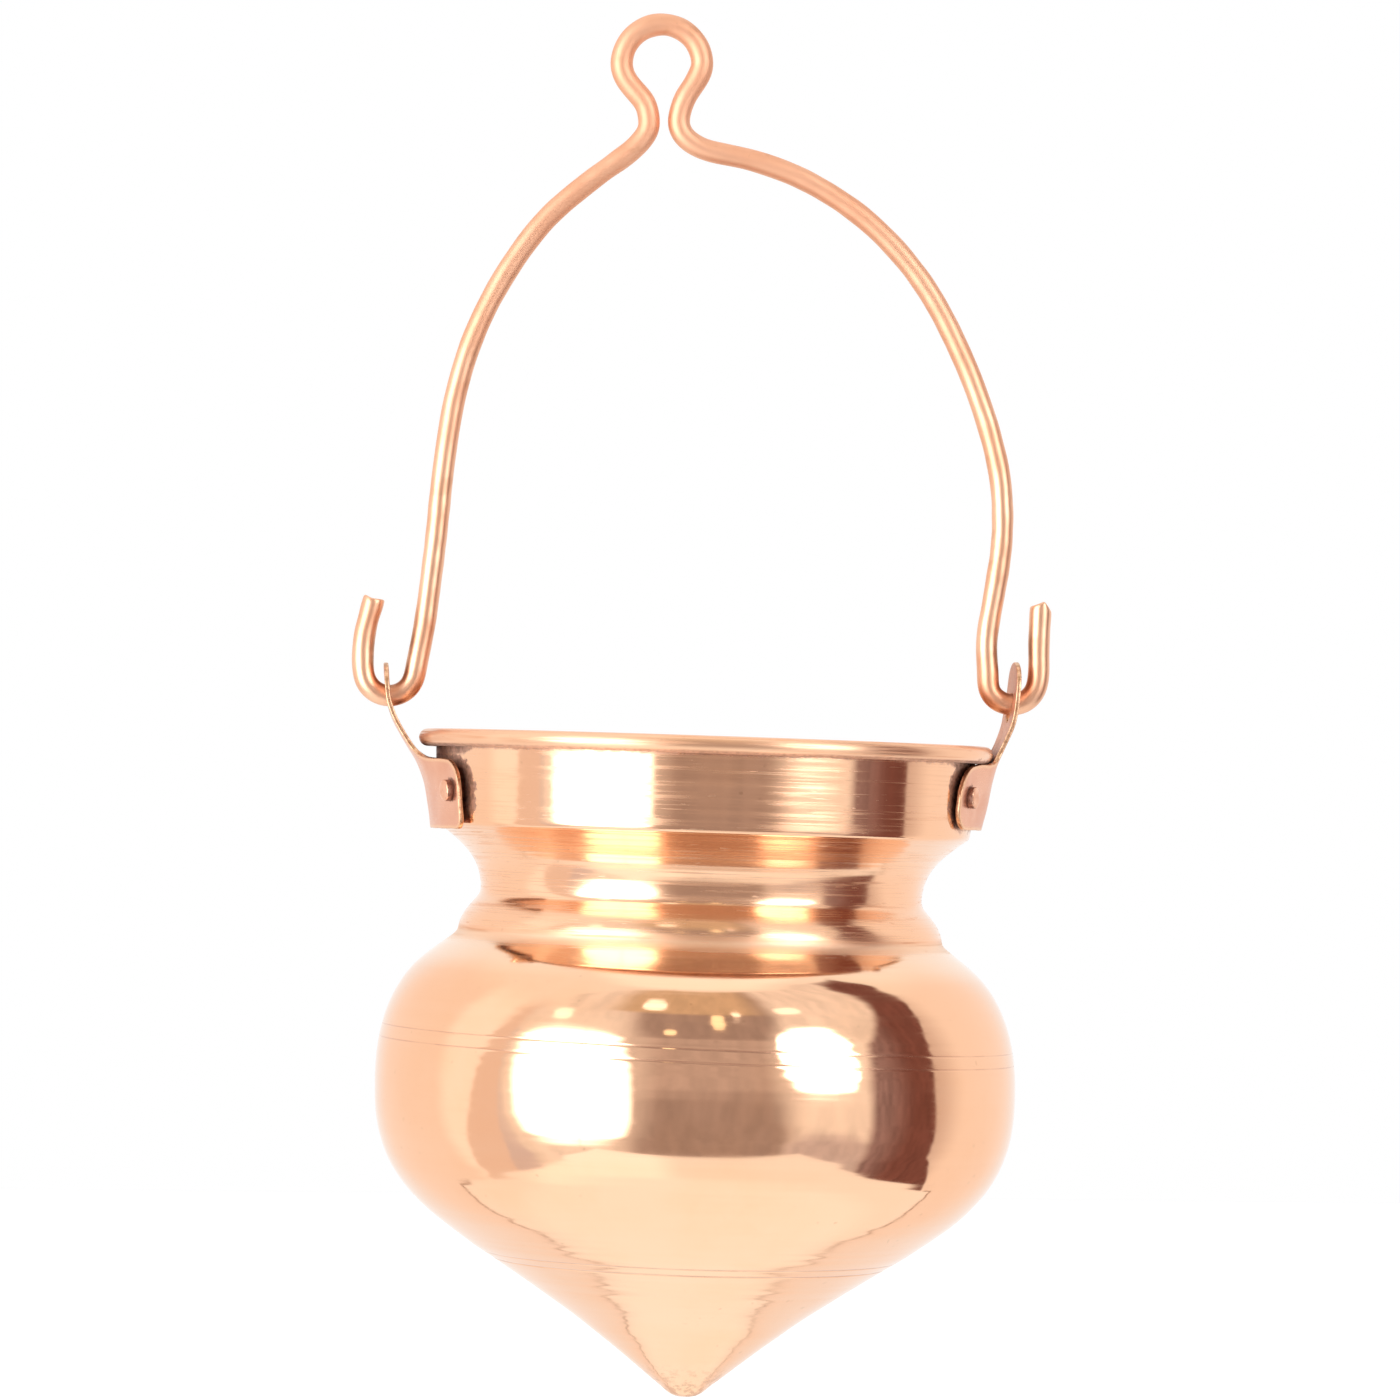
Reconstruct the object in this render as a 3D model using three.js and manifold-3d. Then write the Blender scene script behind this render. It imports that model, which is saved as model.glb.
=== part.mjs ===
// Jaladhara: a spun copper drip pot that hangs from a bent copper wire bail.
// Millimetres, +Z up. The origin is the hanging point, the inner top of the bail's loop.
// +X runs along the line through both hook seats, which is the axis that the vessel swings about.

import * as THREE from 'three';
import { mergeVertices } from 'three/addons/utils/BufferGeometryUtils.js';
import Module from 'manifold-3d';

const wasm = await Module();
wasm.setup();

// Fits
const clearance = 0.3; // gap that touching pieces keep
const cutOverrun = 2; // how far a cutter reaches past the metal on each side

// Vessel, heights measured up from the lowest point of its nose, and places below its top
const vesselWall = 0.9;
const vesselHeight = 130.8;
const rimRollRadius = 1.7;
const collarTopRadius = 53.4;
const collarFootRadius = 52.8;
const collarFootBelowTop = 18.4;
const collarFootFillet = 2;
const neckRadius = 43.6;
const neckBelowTop = 31.4;
const creaseRadius = 47.9;
const creaseBelowTop = 39.6;
const bellyRadius = 63.4;
const bellyHeight = 61;
const coneRadius = 43;
const coneHeight = 29.6;
const noseRadius = 6.6;
const noseHeight = 3.5;
const dripHoleRadius = 1;
const vesselSegments = 40;
const insideFineness = 0.6; // the hidden inside takes fewer facets than the outside
const collarFootHeight = vesselHeight - collarFootBelowTop;

// Curves of the outline: directions in degrees, pulls as shares of each stretch's chord
const throatStart = { angle: -146, pullShare: 0.37 };
const throatEnd = { angle: -90, pullShare: 0.41 };
const ringStart = { angle: -90, pullShare: 0.18 };
const ringEnd = { angle: -88, pullShare: 0.5 };
const shoulderStart = { angle: -42, pullShare: 0.19 };
const shoulderEnd = { angle: -90, pullShare: 0.66 };
const bowlStart = { angle: -90, pullShare: 0.53 };
const bowlEnd = { angle: -142.5, pullShare: 0.235 };
const coneStart = { angle: -148, pullShare: 0.39 };
const coneEnd = { angle: -137, pullShare: 0.29 };
const noseStart = { angle: -146, pullShare: 0.45 };
const noseEnd = { angle: -180, pullShare: 0.35 };

// Ears, cut from one sheet blank each: a plate that wraps the collar and a tongue with an eye
const earSheet = 0.9;
const earBlankHeight = 34.4;
const earTopSlope = 0.3; // rise of the plate's top edge towards the tongue
const tongueRootShare = 0.72; // where the root's curve starts, from the tongue's side to the shoulder
const tongueHalfWidth = 7;
const tongueRootRise = 4.5; // height over which the root's hollow curve narrows to the tongue
const eyeEndRadius = 6;
const eyeRadius = 3.05;
const eyeSegments = 24;
const spineHeldHalfWidth = 6; // the middle strip that follows the tongue's bend in full
const flankHalfWidth = 21; // from here out the plate follows the collar alone
const earColumns = 12;
const spineSteps = 200;
const squareReachShare = 0.1; // of the sheet, the reach over which its square direction is taken

// The two ears differ as hand work does. Lean angles are degrees outward from upright, at shares
// of the blank's height. A rivet's spread runs from the ear's middle along the bent plate, its
// rise from the plate's lower edge. The twist turns the tongue about its own length.
const leftEar = {
  name: 'left',
  side: -1,
  plateHalfWidth: 25.2,
  plateHeight: 13.6,
  rivetSpread: 21,
  rivetRise: 7.5,
  footBelowTop: 19.5,
  footCorner: 2,
  standOff: 0,
  bowOut: 0,
  wrapRadius: 58,
  flankAngle: 4,
  shoulderWidth: 6,
  shoulderDrop: 6,
  twistAngle: 0,
  eyeBelowTip: 7.3,
  leanHeightShares: [0, 0.2, 0.34, 0.46, 0.6, 0.72, 0.84, 1],
  leanAngles: [8, 10, 23, 35, 30, 20, 8, 4],
};
const rightEar = {
  name: 'right',
  side: 1,
  plateHalfWidth: 25.6,
  plateHeight: 12.7,
  rivetSpread: 20,
  rivetRise: 6.4,
  footBelowTop: 16.5,
  footCorner: 5,
  standOff: 0.1,
  bowOut: 0.8,
  wrapRadius: 55,
  flankAngle: 3,
  shoulderWidth: 14,
  shoulderDrop: 8.5,
  twistAngle: 4,
  eyeBelowTip: 9.2,
  leanHeightShares: [0, 0.34, 0.44, 0.56, 0.68, 0.8, 1],
  leanAngles: [11, 12, 21.5, 18.5, 9, 5, -1],
};
const ears = [leftEar, rightEar];

// Rivets, two for each ear
const rivetShankRadius = 1.2;
const rivetHeadRadius = 2.1;
const rivetHeadHeight = 1.4;
const rivetHeadRound = 0.4;
const rivetTailRadius = 2;
const rivetTailHeight = 0.9;
const rivetSegments = 14;

// Bail, one length of wire
const wireRadius = 2.15;
const bailDrop = 131.85; // from the hanging point down to the hook seats
const loopOffset = 9.5; // how far the middle of the hooks lies to the right of the loop
const loopRadius = 8.1; // to the wire's centre, as are the next three
const hookRadius = 5.2;
const neckDrop = 10.9; // from the loop's centre down to the narrowest place
const neckShift = 0.5;
const neckGap = 1.5; // between the two strands of wire
const leftHookRise = 19.4;
const rightHookRise = 20.3;
const leftHookAngle = 6; // degrees that the cut leg leans in over its hook
const rightHookAngle = -1;
const wireSides = 12;
const wireSteps = 136;
const stepLength = 4; // on a straight stretch
const stepTurn = 16; // degrees in a bend
const samplesPerPoint = 30;

// Outline points of the arms, as shares of half the hook span and of the bail's drop
const leftArmShares = [
  [0.91, 0.055],
  [0.889, 0.11],
  [0.862, 0.215],
  [0.832, 0.36],
  [0.8, 0.455],
  [0.743, 0.545],
  [0.652, 0.632],
  [0.522, 0.718],
  [0.377, 0.779],
];
const rightArmShares = [
  [0.921, 0.05],
  [0.916, 0.095],
  [0.938, 0.165],
  [0.96, 0.24],
  [0.958, 0.32],
  [0.926, 0.396],
  [0.8325, 0.516],
  [0.692, 0.6355],
  [0.517, 0.724],
  [0.321, 0.783],
  [0.151, 0.8125],
];
// Where the loop closes in below its middle, as shares of its radius
const leftLoopShares = [
  [-0.9, -0.34],
  [-0.66, -0.64],
  [-0.39, -0.95],
];
const rightLoopShares = [
  [0.93, -0.2],
  [0.78, -0.48],
  [0.58, -0.78],
];
// The bends below the neck, as shares of the neck's drop
const leftBendShares = [
  [-0.22, -1.17],
  [-0.32, -1.34],
  [-0.51, -1.55],
  [-0.79, -1.77],
];
const rightBendShares = [
  [0.33, -1.15],
  [0.43, -1.31],
  [0.58, -1.425],
  [0.81, -1.53],
];

// Finishes
const polishedCopper = { color: 0xe8a886, roughness: 0.18, metalness: 1 };
const hammeredCopper = { color: 0xdf9f7c, roughness: 0.3, metalness: 1 };
const drawnCopper = { color: 0xd99a6c, roughness: 0.34, metalness: 1 };

const part = new THREE.Group();
const vessel = new THREE.Group();
part.add(vessel);

function addPiece(group, name, geometry, finish) {
  const piece = new THREE.Mesh(geometry, new THREE.MeshStandardMaterial(finish));
  piece.name = name;
  group.add(piece);
  return piece;
}

// Joins and cuts
function bareGeometry(geometry) {
  const bare = geometry.clone();
  bare.deleteAttribute('normal');
  bare.deleteAttribute('uv');
  return mergeVertices(bare);
}

function toSolid(geometry) {
  const bare = bareGeometry(geometry);
  return new wasm.Manifold(new wasm.Mesh({
    numProp: 3,
    vertProperties: new Float32Array(bare.attributes.position.array),
    triVerts: new Uint32Array(bare.index.array),
  }));
}

function toGeometry(solid) {
  const mesh = solid.getMesh();
  const geometry = new THREE.BufferGeometry();
  geometry.setAttribute('position', new THREE.BufferAttribute(mesh.vertProperties, mesh.numProp));
  geometry.setIndex(new THREE.BufferAttribute(mesh.triVerts, 1));
  geometry.computeVertexNormals();
  return geometry;
}

function cutAll(geometry, cutters) {
  let solid = toSolid(geometry);
  for (const cutter of cutters) {
    solid = solid.subtract(toSolid(cutter));
  }
  return toGeometry(solid);
}

// A body of revolution whose outline is given as radius and height, standing on +Z
function turned(points, segments) {
  const geometry = new THREE.LatheGeometry(points, segments);
  geometry.rotateX(Math.PI / 2);
  return geometry;
}

// Moves what stands on +Z so that it stands at a place and points along a direction
function aimed(geometry, place, direction) {
  const upright = new THREE.Vector3(0, 0, 1);
  geometry.applyQuaternion(new THREE.Quaternion().setFromUnitVectors(upright, direction));
  geometry.translate(place.x, place.y, place.z);
  return geometry;
}

function boreCutter(radius, halfLength, segments, place, direction) {
  const cutter = new THREE.CylinderGeometry(radius, radius, 2 * halfLength, segments);
  cutter.rotateX(Math.PI / 2);
  return aimed(cutter, place, direction);
}

// Outline of the vessel
function headingFrom(end) {
  const turn = THREE.MathUtils.degToRad(end.angle);
  return new THREE.Vector2(Math.cos(turn), Math.sin(turn));
}

function sweep(from, to, start, end, divisions) {
  const chord = from.distanceTo(to);
  const curve = new THREE.CubicBezierCurve(
    from,
    from.clone().addScaledVector(headingFrom(start), start.pullShare * chord),
    to.clone().addScaledVector(headingFrom(end), -end.pullShare * chord),
    to,
  );
  return curve.getPoints(divisions);
}

function arc(centre, radius, fromDegrees, toDegrees, divisions) {
  const points = [];
  for (let i = 0; i <= divisions; i += 1) {
    const turn = THREE.MathUtils.degToRad(THREE.MathUtils.lerp(fromDegrees, toDegrees, i / divisions));
    points.push(new THREE.Vector2(centre.x + radius * Math.cos(turn), centre.y + radius * Math.sin(turn)));
  }
  return points;
}

// Replaces the corner between two straight runs by a round of the given radius
function roundedCorner(before, corner, after, radius, divisions) {
  const back = before.clone().sub(corner);
  const on = after.clone().sub(corner);
  const half = Math.acos(back.clone().normalize().dot(on.clone().normalize())) / 2;
  const reach = Math.min(radius / Math.tan(half), back.length(), on.length());
  const from = corner.clone().addScaledVector(back.normalize(), reach);
  const to = corner.clone().addScaledVector(on.normalize(), reach);
  return new THREE.QuadraticBezierCurve(from, corner, to).getPoints(divisions);
}

// Outer line from the collar's top down to the edge of the drip hole
function outerLine(fineness) {
  const rimCentreHeight = vesselHeight - rimRollRadius;
  const collarTop = new THREE.Vector2(collarTopRadius, rimCentreHeight);
  const collarFoot = new THREE.Vector2(collarFootRadius, collarFootHeight);
  const neck = new THREE.Vector2(neckRadius, vesselHeight - neckBelowTop);
  const crease = new THREE.Vector2(creaseRadius, vesselHeight - creaseBelowTop);
  const belly = new THREE.Vector2(bellyRadius, bellyHeight);
  const cone = new THREE.Vector2(coneRadius, coneHeight);
  const nose = new THREE.Vector2(noseRadius, noseHeight);
  const tip = new THREE.Vector2(dripHoleRadius, 0);
  const facets = (count) => Math.round(count * fineness);
  const throat = sweep(collarFoot, neck, throatStart, throatEnd, facets(7));
  const foot = roundedCorner(collarTop, collarFoot, throat[2], collarFootFillet, facets(3));
  return [
    collarTop,
    ...foot,
    ...throat.slice(2),
    ...sweep(neck, crease, ringStart, ringEnd, facets(4)).slice(1),
    ...sweep(crease, belly, shoulderStart, shoulderEnd, facets(7)).slice(1),
    ...sweep(belly, cone, bowlStart, bowlEnd, facets(8)).slice(1),
    ...sweep(cone, nose, coneStart, coneEnd, facets(5)).slice(1),
    ...sweep(nose, tip, noseStart, noseEnd, facets(3)).slice(1),
  ];
}

// The same line moved in by the wall
function insetLine(points, distance) {
  return points.map((point, i) => {
    const before = points[Math.max(i - 1, 0)];
    const after = points[Math.min(i + 1, points.length - 1)];
    const arriving = point.clone().sub(before);
    const leaving = after.clone().sub(point);
    if (i === 0) {
      arriving.copy(leaving);
    }
    if (i === points.length - 1) {
      leaving.copy(arriving);
    }
    const heading = arriving.normalize().add(leaving.normalize());
    const bend = heading.length() / 2;
    heading.normalize();
    const inward = new THREE.Vector2(heading.y, -heading.x);
    return point.clone().addScaledVector(inward, distance / bend);
  });
}

// The rim is the wall itself, turned out over the collar and rolled down to it. The roll stays
// open by a fine slit against the collar.
function rolledRim(collarTop) {
  const voidRadius = rimRollRadius - vesselWall;
  const rollCentre = new THREE.Vector2(collarTop.x + rimRollRadius, collarTop.y);
  const slit = collarTop.x + clearance;
  const inner = [
    new THREE.Vector2(slit, rollCentre.y - voidRadius),
    ...arc(rollCentre, voidRadius, -90, 90, 5),
    new THREE.Vector2(collarTop.x, rollCentre.y + voidRadius),
  ];
  const outer = [
    new THREE.Vector2(slit, rollCentre.y - rimRollRadius),
    ...arc(rollCentre, rimRollRadius, -90, 90, 8),
    ...arc(new THREE.Vector2(collarTop.x, rollCentre.y + voidRadius), vesselWall, 90, 180, 3),
  ];
  return { inner, outer };
}

function vesselOutline() {
  const line = outerLine(1);
  const inset = insetLine(outerLine(insideFineness), vesselWall);
  const rim = rolledRim(line[0]);
  return [
    ...rim.outer,
    ...inset.slice(1),
    ...line.slice(1).reverse(),
    ...rim.inner.slice().reverse(),
    rim.outer[0],
  ];
}

// Radius of the collar's outer face at a height
function collarRadiusAt(height) {
  const share = (height - collarFootHeight) / (vesselHeight - rimRollRadius - collarFootHeight);
  return THREE.MathUtils.lerp(collarFootRadius, collarTopRadius, THREE.MathUtils.clamp(share, 0, 1));
}

// Half the width of an ear's blank, from its lower edge to the end of its eye
function blankEdge(ear) {
  const top = ear.plateHeight;
  const footCorner = new THREE.Vector2(ear.plateHalfWidth - ear.footCorner, ear.footCorner);
  const shoulderX = ear.plateHalfWidth - ear.shoulderWidth;
  const rootX = THREE.MathUtils.lerp(tongueHalfWidth, shoulderX, tongueRootShare);
  const shoulder = new THREE.EllipseCurve(
    shoulderX,
    top - ear.shoulderDrop,
    ear.shoulderWidth,
    ear.shoulderDrop,
    0,
    Math.PI / 2,
  );
  const root = new THREE.Vector2(rootX, top + earTopSlope);
  const narrow = new THREE.Vector2(tongueHalfWidth, top + tongueRootRise);
  const hollow = new THREE.QuadraticBezierCurve(root, new THREE.Vector2(tongueHalfWidth, root.y), narrow);
  const endCentre = new THREE.Vector2(0, earBlankHeight - eyeEndRadius);
  const tongueSide = new THREE.LineCurve(narrow, new THREE.Vector2(eyeEndRadius, endCentre.y));
  return [
    ...arc(footCorner, ear.footCorner, -90, 0, 3),
    new THREE.Vector2(ear.plateHalfWidth, (ear.footCorner + top - ear.shoulderDrop) / 2),
    ...shoulder.getPoints(5),
    ...hollow.getPoints(5),
    ...tongueSide.getPoints(4).slice(1, -1),
    ...arc(endCentre, eyeEndRadius, 0, 90, 6),
  ];
}

// Where the tongue's middle line runs, as radius and height, found by adding up its bends
function spineOf(ear) {
  const step = earBlankHeight / spineSteps;
  const footHeight = vesselHeight - ear.footBelowTop;
  const footRadius = collarRadiusAt(footHeight) + clearance + ear.standOff + earSheet / 2;
  const radii = [footRadius + ear.bowOut];
  const heights = [footHeight];
  for (let i = 0; i < spineSteps; i += 1) {
    const share = (i + 1 / 2) / spineSteps;
    const lean = THREE.MathUtils.degToRad(leanAt(ear, share));
    radii.push(radii[i] + step * Math.sin(lean));
    heights.push(heights[i] + step * Math.cos(lean));
  }
  return { step, footRadius, footHeight, radii, heights };
}

function leanAt(ear, share) {
  const stops = ear.leanHeightShares;
  let i = 1;
  while (i < stops.length - 1 && share > stops[i]) {
    i += 1;
  }
  const between = (share - stops[i - 1]) / (stops[i] - stops[i - 1]);
  const eased = THREE.MathUtils.smoothstep(between, 0, 1);
  return THREE.MathUtils.lerp(ear.leanAngles[i - 1], ear.leanAngles[i], eased);
}

// The middle of the bent sheet at a place on the flat blank: across from its middle line, and up
function sheetPoint(ear, spine, across, up) {
  const at = THREE.MathUtils.clamp(up / spine.step, 0, spineSteps);
  const low = Math.min(Math.floor(at), spineSteps - 1);
  const spineRadius = THREE.MathUtils.lerp(spine.radii[low], spine.radii[low + 1], at - low);
  const spineHeight = THREE.MathUtils.lerp(spine.heights[low], spine.heights[low + 1], at - low);
  const flattening = THREE.MathUtils.smoothstep(up, ear.plateHeight, earBlankHeight - ear.eyeBelowTip);
  const bend = (1 - flattening) / ear.wrapRadius;
  const twist = flattening * Math.tan(THREE.MathUtils.degToRad(ear.twistAngle));
  const spinePlace = new THREE.Vector3(
    spineRadius - bend * across ** 2 / 2 - twist * across,
    across,
    spineHeight,
  );
  const flankLean = THREE.MathUtils.degToRad(ear.flankAngle);
  const wrap = across / ear.wrapRadius;
  const flankPlace = new THREE.Vector3(
    spine.footRadius + up * Math.sin(flankLean) - ear.wrapRadius * (1 - Math.cos(wrap)),
    ear.wrapRadius * Math.sin(wrap),
    spine.footHeight + up * Math.cos(flankLean),
  );
  const flank = THREE.MathUtils.smoothstep(Math.abs(across), spineHeldHalfWidth, flankHalfWidth);
  return spinePlace.lerp(flankPlace, flank);
}

function sheetNormal(ear, spine, across, up) {
  const reach = squareReachShare * earSheet;
  const alongAcross = sheetPoint(ear, spine, across + reach, up).sub(sheetPoint(ear, spine, across - reach, up));
  const alongUp = sheetPoint(ear, spine, across, up + reach).sub(sheetPoint(ear, spine, across, up - reach));
  return alongAcross.cross(alongUp).normalize();
}

// A closed sheet: two faces on a grid of rows and columns, joined all round their edge
function earBlank(ear, spine) {
  const rows = blankEdge(ear);
  const positions = [];
  const indices = [];
  const perRow = earColumns + 1;
  for (const face of [1, -1]) {
    for (const row of rows) {
      for (let column = 0; column < perRow; column += 1) {
        const across = row.x * (2 * column / earColumns - 1);
        const place = sheetPoint(ear, spine, across, row.y);
        const normal = sheetNormal(ear, spine, across, row.y);
        place.addScaledVector(normal, face * earSheet / 2);
        positions.push(place.x, place.y, place.z);
      }
    }
  }
  const back = rows.length * perRow;
  const addQuad = (a, b, c, d) => indices.push(a, b, c, a, c, d);
  for (let row = 0; row < rows.length - 1; row += 1) {
    for (let column = 0; column < earColumns; column += 1) {
      const corner = row * perRow + column;
      addQuad(corner, corner + 1, corner + perRow + 1, corner + perRow);
      addQuad(back + corner, back + corner + perRow, back + corner + perRow + 1, back + corner + 1);
    }
    const left = row * perRow;
    const right = left + earColumns;
    addQuad(left, left + perRow, back + left + perRow, back + left);
    addQuad(right, back + right, back + right + perRow, right + perRow);
  }
  for (let column = 0; column < earColumns; column += 1) {
    addQuad(column + 1, column, back + column, back + column + 1);
  }
  const geometry = new THREE.BufferGeometry();
  geometry.setAttribute('position', new THREE.Float32BufferAttribute(positions, 3));
  geometry.setIndex(indices);
  return withoutSlivers(mergeVertices(geometry));
}

// Drops the triangles that closed up where the rows meet in a point
function withoutSlivers(geometry) {
  const kept = [];
  const index = geometry.index.array;
  for (let i = 0; i < index.length; i += 3) {
    const [a, b, c] = [index[i], index[i + 1], index[i + 2]];
    if (a !== b && b !== c && c !== a) {
      kept.push(a, b, c);
    }
  }
  geometry.setIndex(kept);
  return geometry;
}

// Turns what is made for the right side to the ear's own side
function toSide(ear, geometry) {
  if (ear.side < 0) {
    geometry.rotateZ(Math.PI);
  }
  return geometry;
}

// A rivet's axis is set between the square to the plate and the square to the collar
function rivetAxis(ear, spine, hand) {
  const across = hand * ear.rivetSpread;
  const place = sheetPoint(ear, spine, across, ear.rivetRise);
  const plateNormal = sheetNormal(ear, spine, across, ear.rivetRise);
  const collarNormal = new THREE.Vector3(place.x, place.y, 0).normalize();
  const lean = plateNormal.angleTo(collarNormal) / 2;
  const direction = plateNormal.add(collarNormal).normalize();
  const plateReach = Math.hypot(place.x, place.y);
  const wallReach = plateReach - collarRadiusAt(place.z);
  return { place, direction, lean, wallReach };
}

// Outer head, shank and upset tail in one turned piece, standing on the sheet's middle
function rivetGeometry(axis) {
  const tilt = Math.tan(axis.lean) * rivetHeadRadius;
  const headFoot = earSheet / 2 + clearance + tilt;
  const headTop = headFoot + rivetHeadHeight;
  const tailTop = -(axis.wallReach + vesselWall + clearance + tilt);
  const tailFoot = tailTop - rivetTailHeight;
  const outline = [
    new THREE.Vector2(0, tailFoot),
    new THREE.Vector2(rivetTailRadius - rivetHeadRound, tailFoot),
    new THREE.Vector2(rivetTailRadius, tailFoot + rivetHeadRound),
    new THREE.Vector2(rivetTailRadius, tailTop),
    new THREE.Vector2(rivetShankRadius, tailTop),
    new THREE.Vector2(rivetShankRadius, headFoot),
    new THREE.Vector2(rivetHeadRadius, headFoot),
    new THREE.Vector2(rivetHeadRadius, headTop - rivetHeadRound),
    new THREE.Vector2(rivetHeadRadius - rivetHeadRound, headTop),
    new THREE.Vector2(0, headTop),
  ];
  return aimed(turned(outline, rivetSegments), axis.place, axis.direction);
}

// Vessel, ears and rivets, in the vessel's own upright frame
const vesselCutters = [];
const eyePlaces = {};

for (const ear of ears) {
  const spine = spineOf(ear);
  const eyeUp = earBlankHeight - ear.eyeBelowTip;
  const eyePlace = sheetPoint(ear, spine, 0, eyeUp);
  const eyeNormal = sheetNormal(ear, spine, 0, eyeUp);
  const earCutters = [boreCutter(eyeRadius, cutOverrun, eyeSegments, eyePlace, eyeNormal)];
  for (const hand of [-1, 1]) {
    const axis = rivetAxis(ear, spine, hand);
    const boreRadius = rivetShankRadius + clearance;
    const boreReach = axis.wallReach + vesselWall + cutOverrun;
    const bore = () => boreCutter(boreRadius, boreReach, rivetSegments, axis.place, axis.direction);
    earCutters.push(bore());
    vesselCutters.push(toSide(ear, bore()));
    const where = hand * ear.side < 0 ? 'front' : 'back';
    addPiece(vessel, `rivet_${ear.name}_${where}`, toSide(ear, rivetGeometry(axis)), hammeredCopper);
  }
  addPiece(vessel, `ear_${ear.name}`, toSide(ear, cutAll(earBlank(ear, spine), earCutters)), hammeredCopper);
  eyePlaces[ear.name] = new THREE.Vector2(ear.side * eyePlace.x, eyePlace.z);
}

addPiece(vessel, 'vessel_body', cutAll(turned(vesselOutline(), vesselSegments), vesselCutters), polishedCopper);

// The vessel tilts until both eyes hang level on the hooks
const eyeSpan = eyePlaces.left.distanceTo(eyePlaces.right);
const eyeMiddle = eyePlaces.left.clone().add(eyePlaces.right).divideScalar(2);
const eyeRun = eyePlaces.right.clone().sub(eyePlaces.left);
const vesselTilt = Math.atan2(eyeRun.y, eyeRun.x);
const eyeHang = eyeRadius - wireRadius - clearance; // how far an eye's centre hangs below the wire's
vessel.rotation.y = vesselTilt;
const turnedMiddle = new THREE.Vector3(eyeMiddle.x, 0, eyeMiddle.y).applyEuler(vessel.rotation);
vessel.position.set(loopOffset, 0, -bailDrop - eyeHang).sub(turnedMiddle);

// A wire's centre line that takes short steps in bends and long ones on straight runs
class WireLine extends THREE.Curve {
  constructor(points) {
    super();
    this.line = new THREE.CatmullRomCurve3(points, false, 'centripetal');
    this.stops = [0];
    const count = points.length * samplesPerPoint;
    let last = this.line.getPoint(0);
    let lastHeading = this.line.getTangent(0);
    for (let i = 1; i <= count; i += 1) {
      const place = this.line.getPoint(i / count);
      const heading = this.line.getTangent(i / count);
      const turn = THREE.MathUtils.radToDeg(heading.angleTo(lastHeading));
      const cost = place.distanceTo(last) / stepLength + turn / stepTurn;
      this.stops.push(this.stops[i - 1] + cost);
      last = place;
      lastHeading = heading;
    }
  }

  spread(share) {
    const wanted = share * this.stops[this.stops.length - 1];
    let i = 1;
    while (i < this.stops.length - 1 && this.stops[i] < wanted) {
      i += 1;
    }
    const between = (wanted - this.stops[i - 1]) / (this.stops[i] - this.stops[i - 1]);
    return (i - 1 + between) / (this.stops.length - 1);
  }

  getPoint(share) {
    return this.line.getPoint(this.spread(share));
  }

  getPointAt(share) {
    return this.getPoint(share);
  }

  getTangentAt(share) {
    return this.line.getTangent(this.spread(share));
  }
}

const inBailPlane = (x, z) => new THREE.Vector3(x, 0, z);

// From the cut end down the outer leg and round the hook to just past its seat
function hookPoints(side, rise, leanAngle) {
  const seatX = loopOffset + side * eyeSpan / 2;
  const centreZ = hookRadius - bailDrop;
  const inward = Math.sin(THREE.MathUtils.degToRad(leanAngle));
  const legEnd = inBailPlane(seatX + side * (hookRadius - inward * rise), rise - bailDrop);
  const legMiddle = inBailPlane(
    seatX + side * (hookRadius - inward * hookRadius / 2),
    (legEnd.z + centreZ) / 2,
  );
  const points = [legEnd, legMiddle];
  for (const degrees of [0, -30, -60, -90, -120, -150]) {
    const turn = THREE.MathUtils.degToRad(degrees);
    points.push(inBailPlane(
      seatX + side * hookRadius * Math.cos(turn),
      centreZ + hookRadius * Math.sin(turn),
    ));
  }
  return points;
}

function armPoints(side, shares) {
  return shares.map(([acrossShare, heightShare]) => inBailPlane(
    loopOffset + side * acrossShare * eyeSpan / 2,
    (heightShare - 1) * bailDrop,
  ));
}

function bailPoints() {
  const loopCentre = wireRadius - loopRadius;
  const strand = neckGap / 2 + wireRadius;
  const neckZ = loopCentre - neckDrop;
  const fromLoop = (reach) => ([x, z]) => inBailPlane(x * reach, loopCentre + z * reach);
  const loop = [];
  for (const degrees of [180, 150, 120, 90, 60, 30, 0]) {
    const turn = THREE.MathUtils.degToRad(degrees);
    loop.push(fromLoop(loopRadius)([Math.cos(turn), Math.sin(turn)]));
  }
  return [
    ...hookPoints(-1, leftHookRise, leftHookAngle),
    ...armPoints(-1, leftArmShares),
    ...leftBendShares.slice().reverse().map(fromLoop(neckDrop)),
    inBailPlane(neckShift - strand, neckZ),
    ...leftLoopShares.slice().reverse().map(fromLoop(loopRadius)),
    ...loop,
    ...rightLoopShares.map(fromLoop(loopRadius)),
    inBailPlane(neckShift + strand, neckZ),
    ...rightBendShares.map(fromLoop(neckDrop)),
    ...armPoints(1, rightArmShares).reverse(),
    ...hookPoints(1, rightHookRise, rightHookAngle).reverse(),
  ];
}

function bailGeometry() {
  const section = new THREE.Shape();
  section.absarc(0, 0, wireRadius, 0, 2 * Math.PI);
  return new THREE.ExtrudeGeometry(section, {
    steps: wireSteps,
    curveSegments: wireSides / 2,
    extrudePath: new WireLine(bailPoints()),
    bevelEnabled: false,
  });
}

addPiece(part, 'bail', bareGeometry(bailGeometry()), drawnCopper);

export default part;
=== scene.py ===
"""Jaladhara: a spun copper drip pot on a bent copper wire bail, dressed over its CAD frame.

Sizes are in millimetres, as in the CAD source, and become metres when a mesh is made. The origin is
the hanging point, +Z is up, and +X runs along the line through both hook seats.
"""

import math
import random

import bpy
import numpy as np
from mathutils import Matrix, Vector
from mathutils import geometry as plane_geometry


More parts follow.
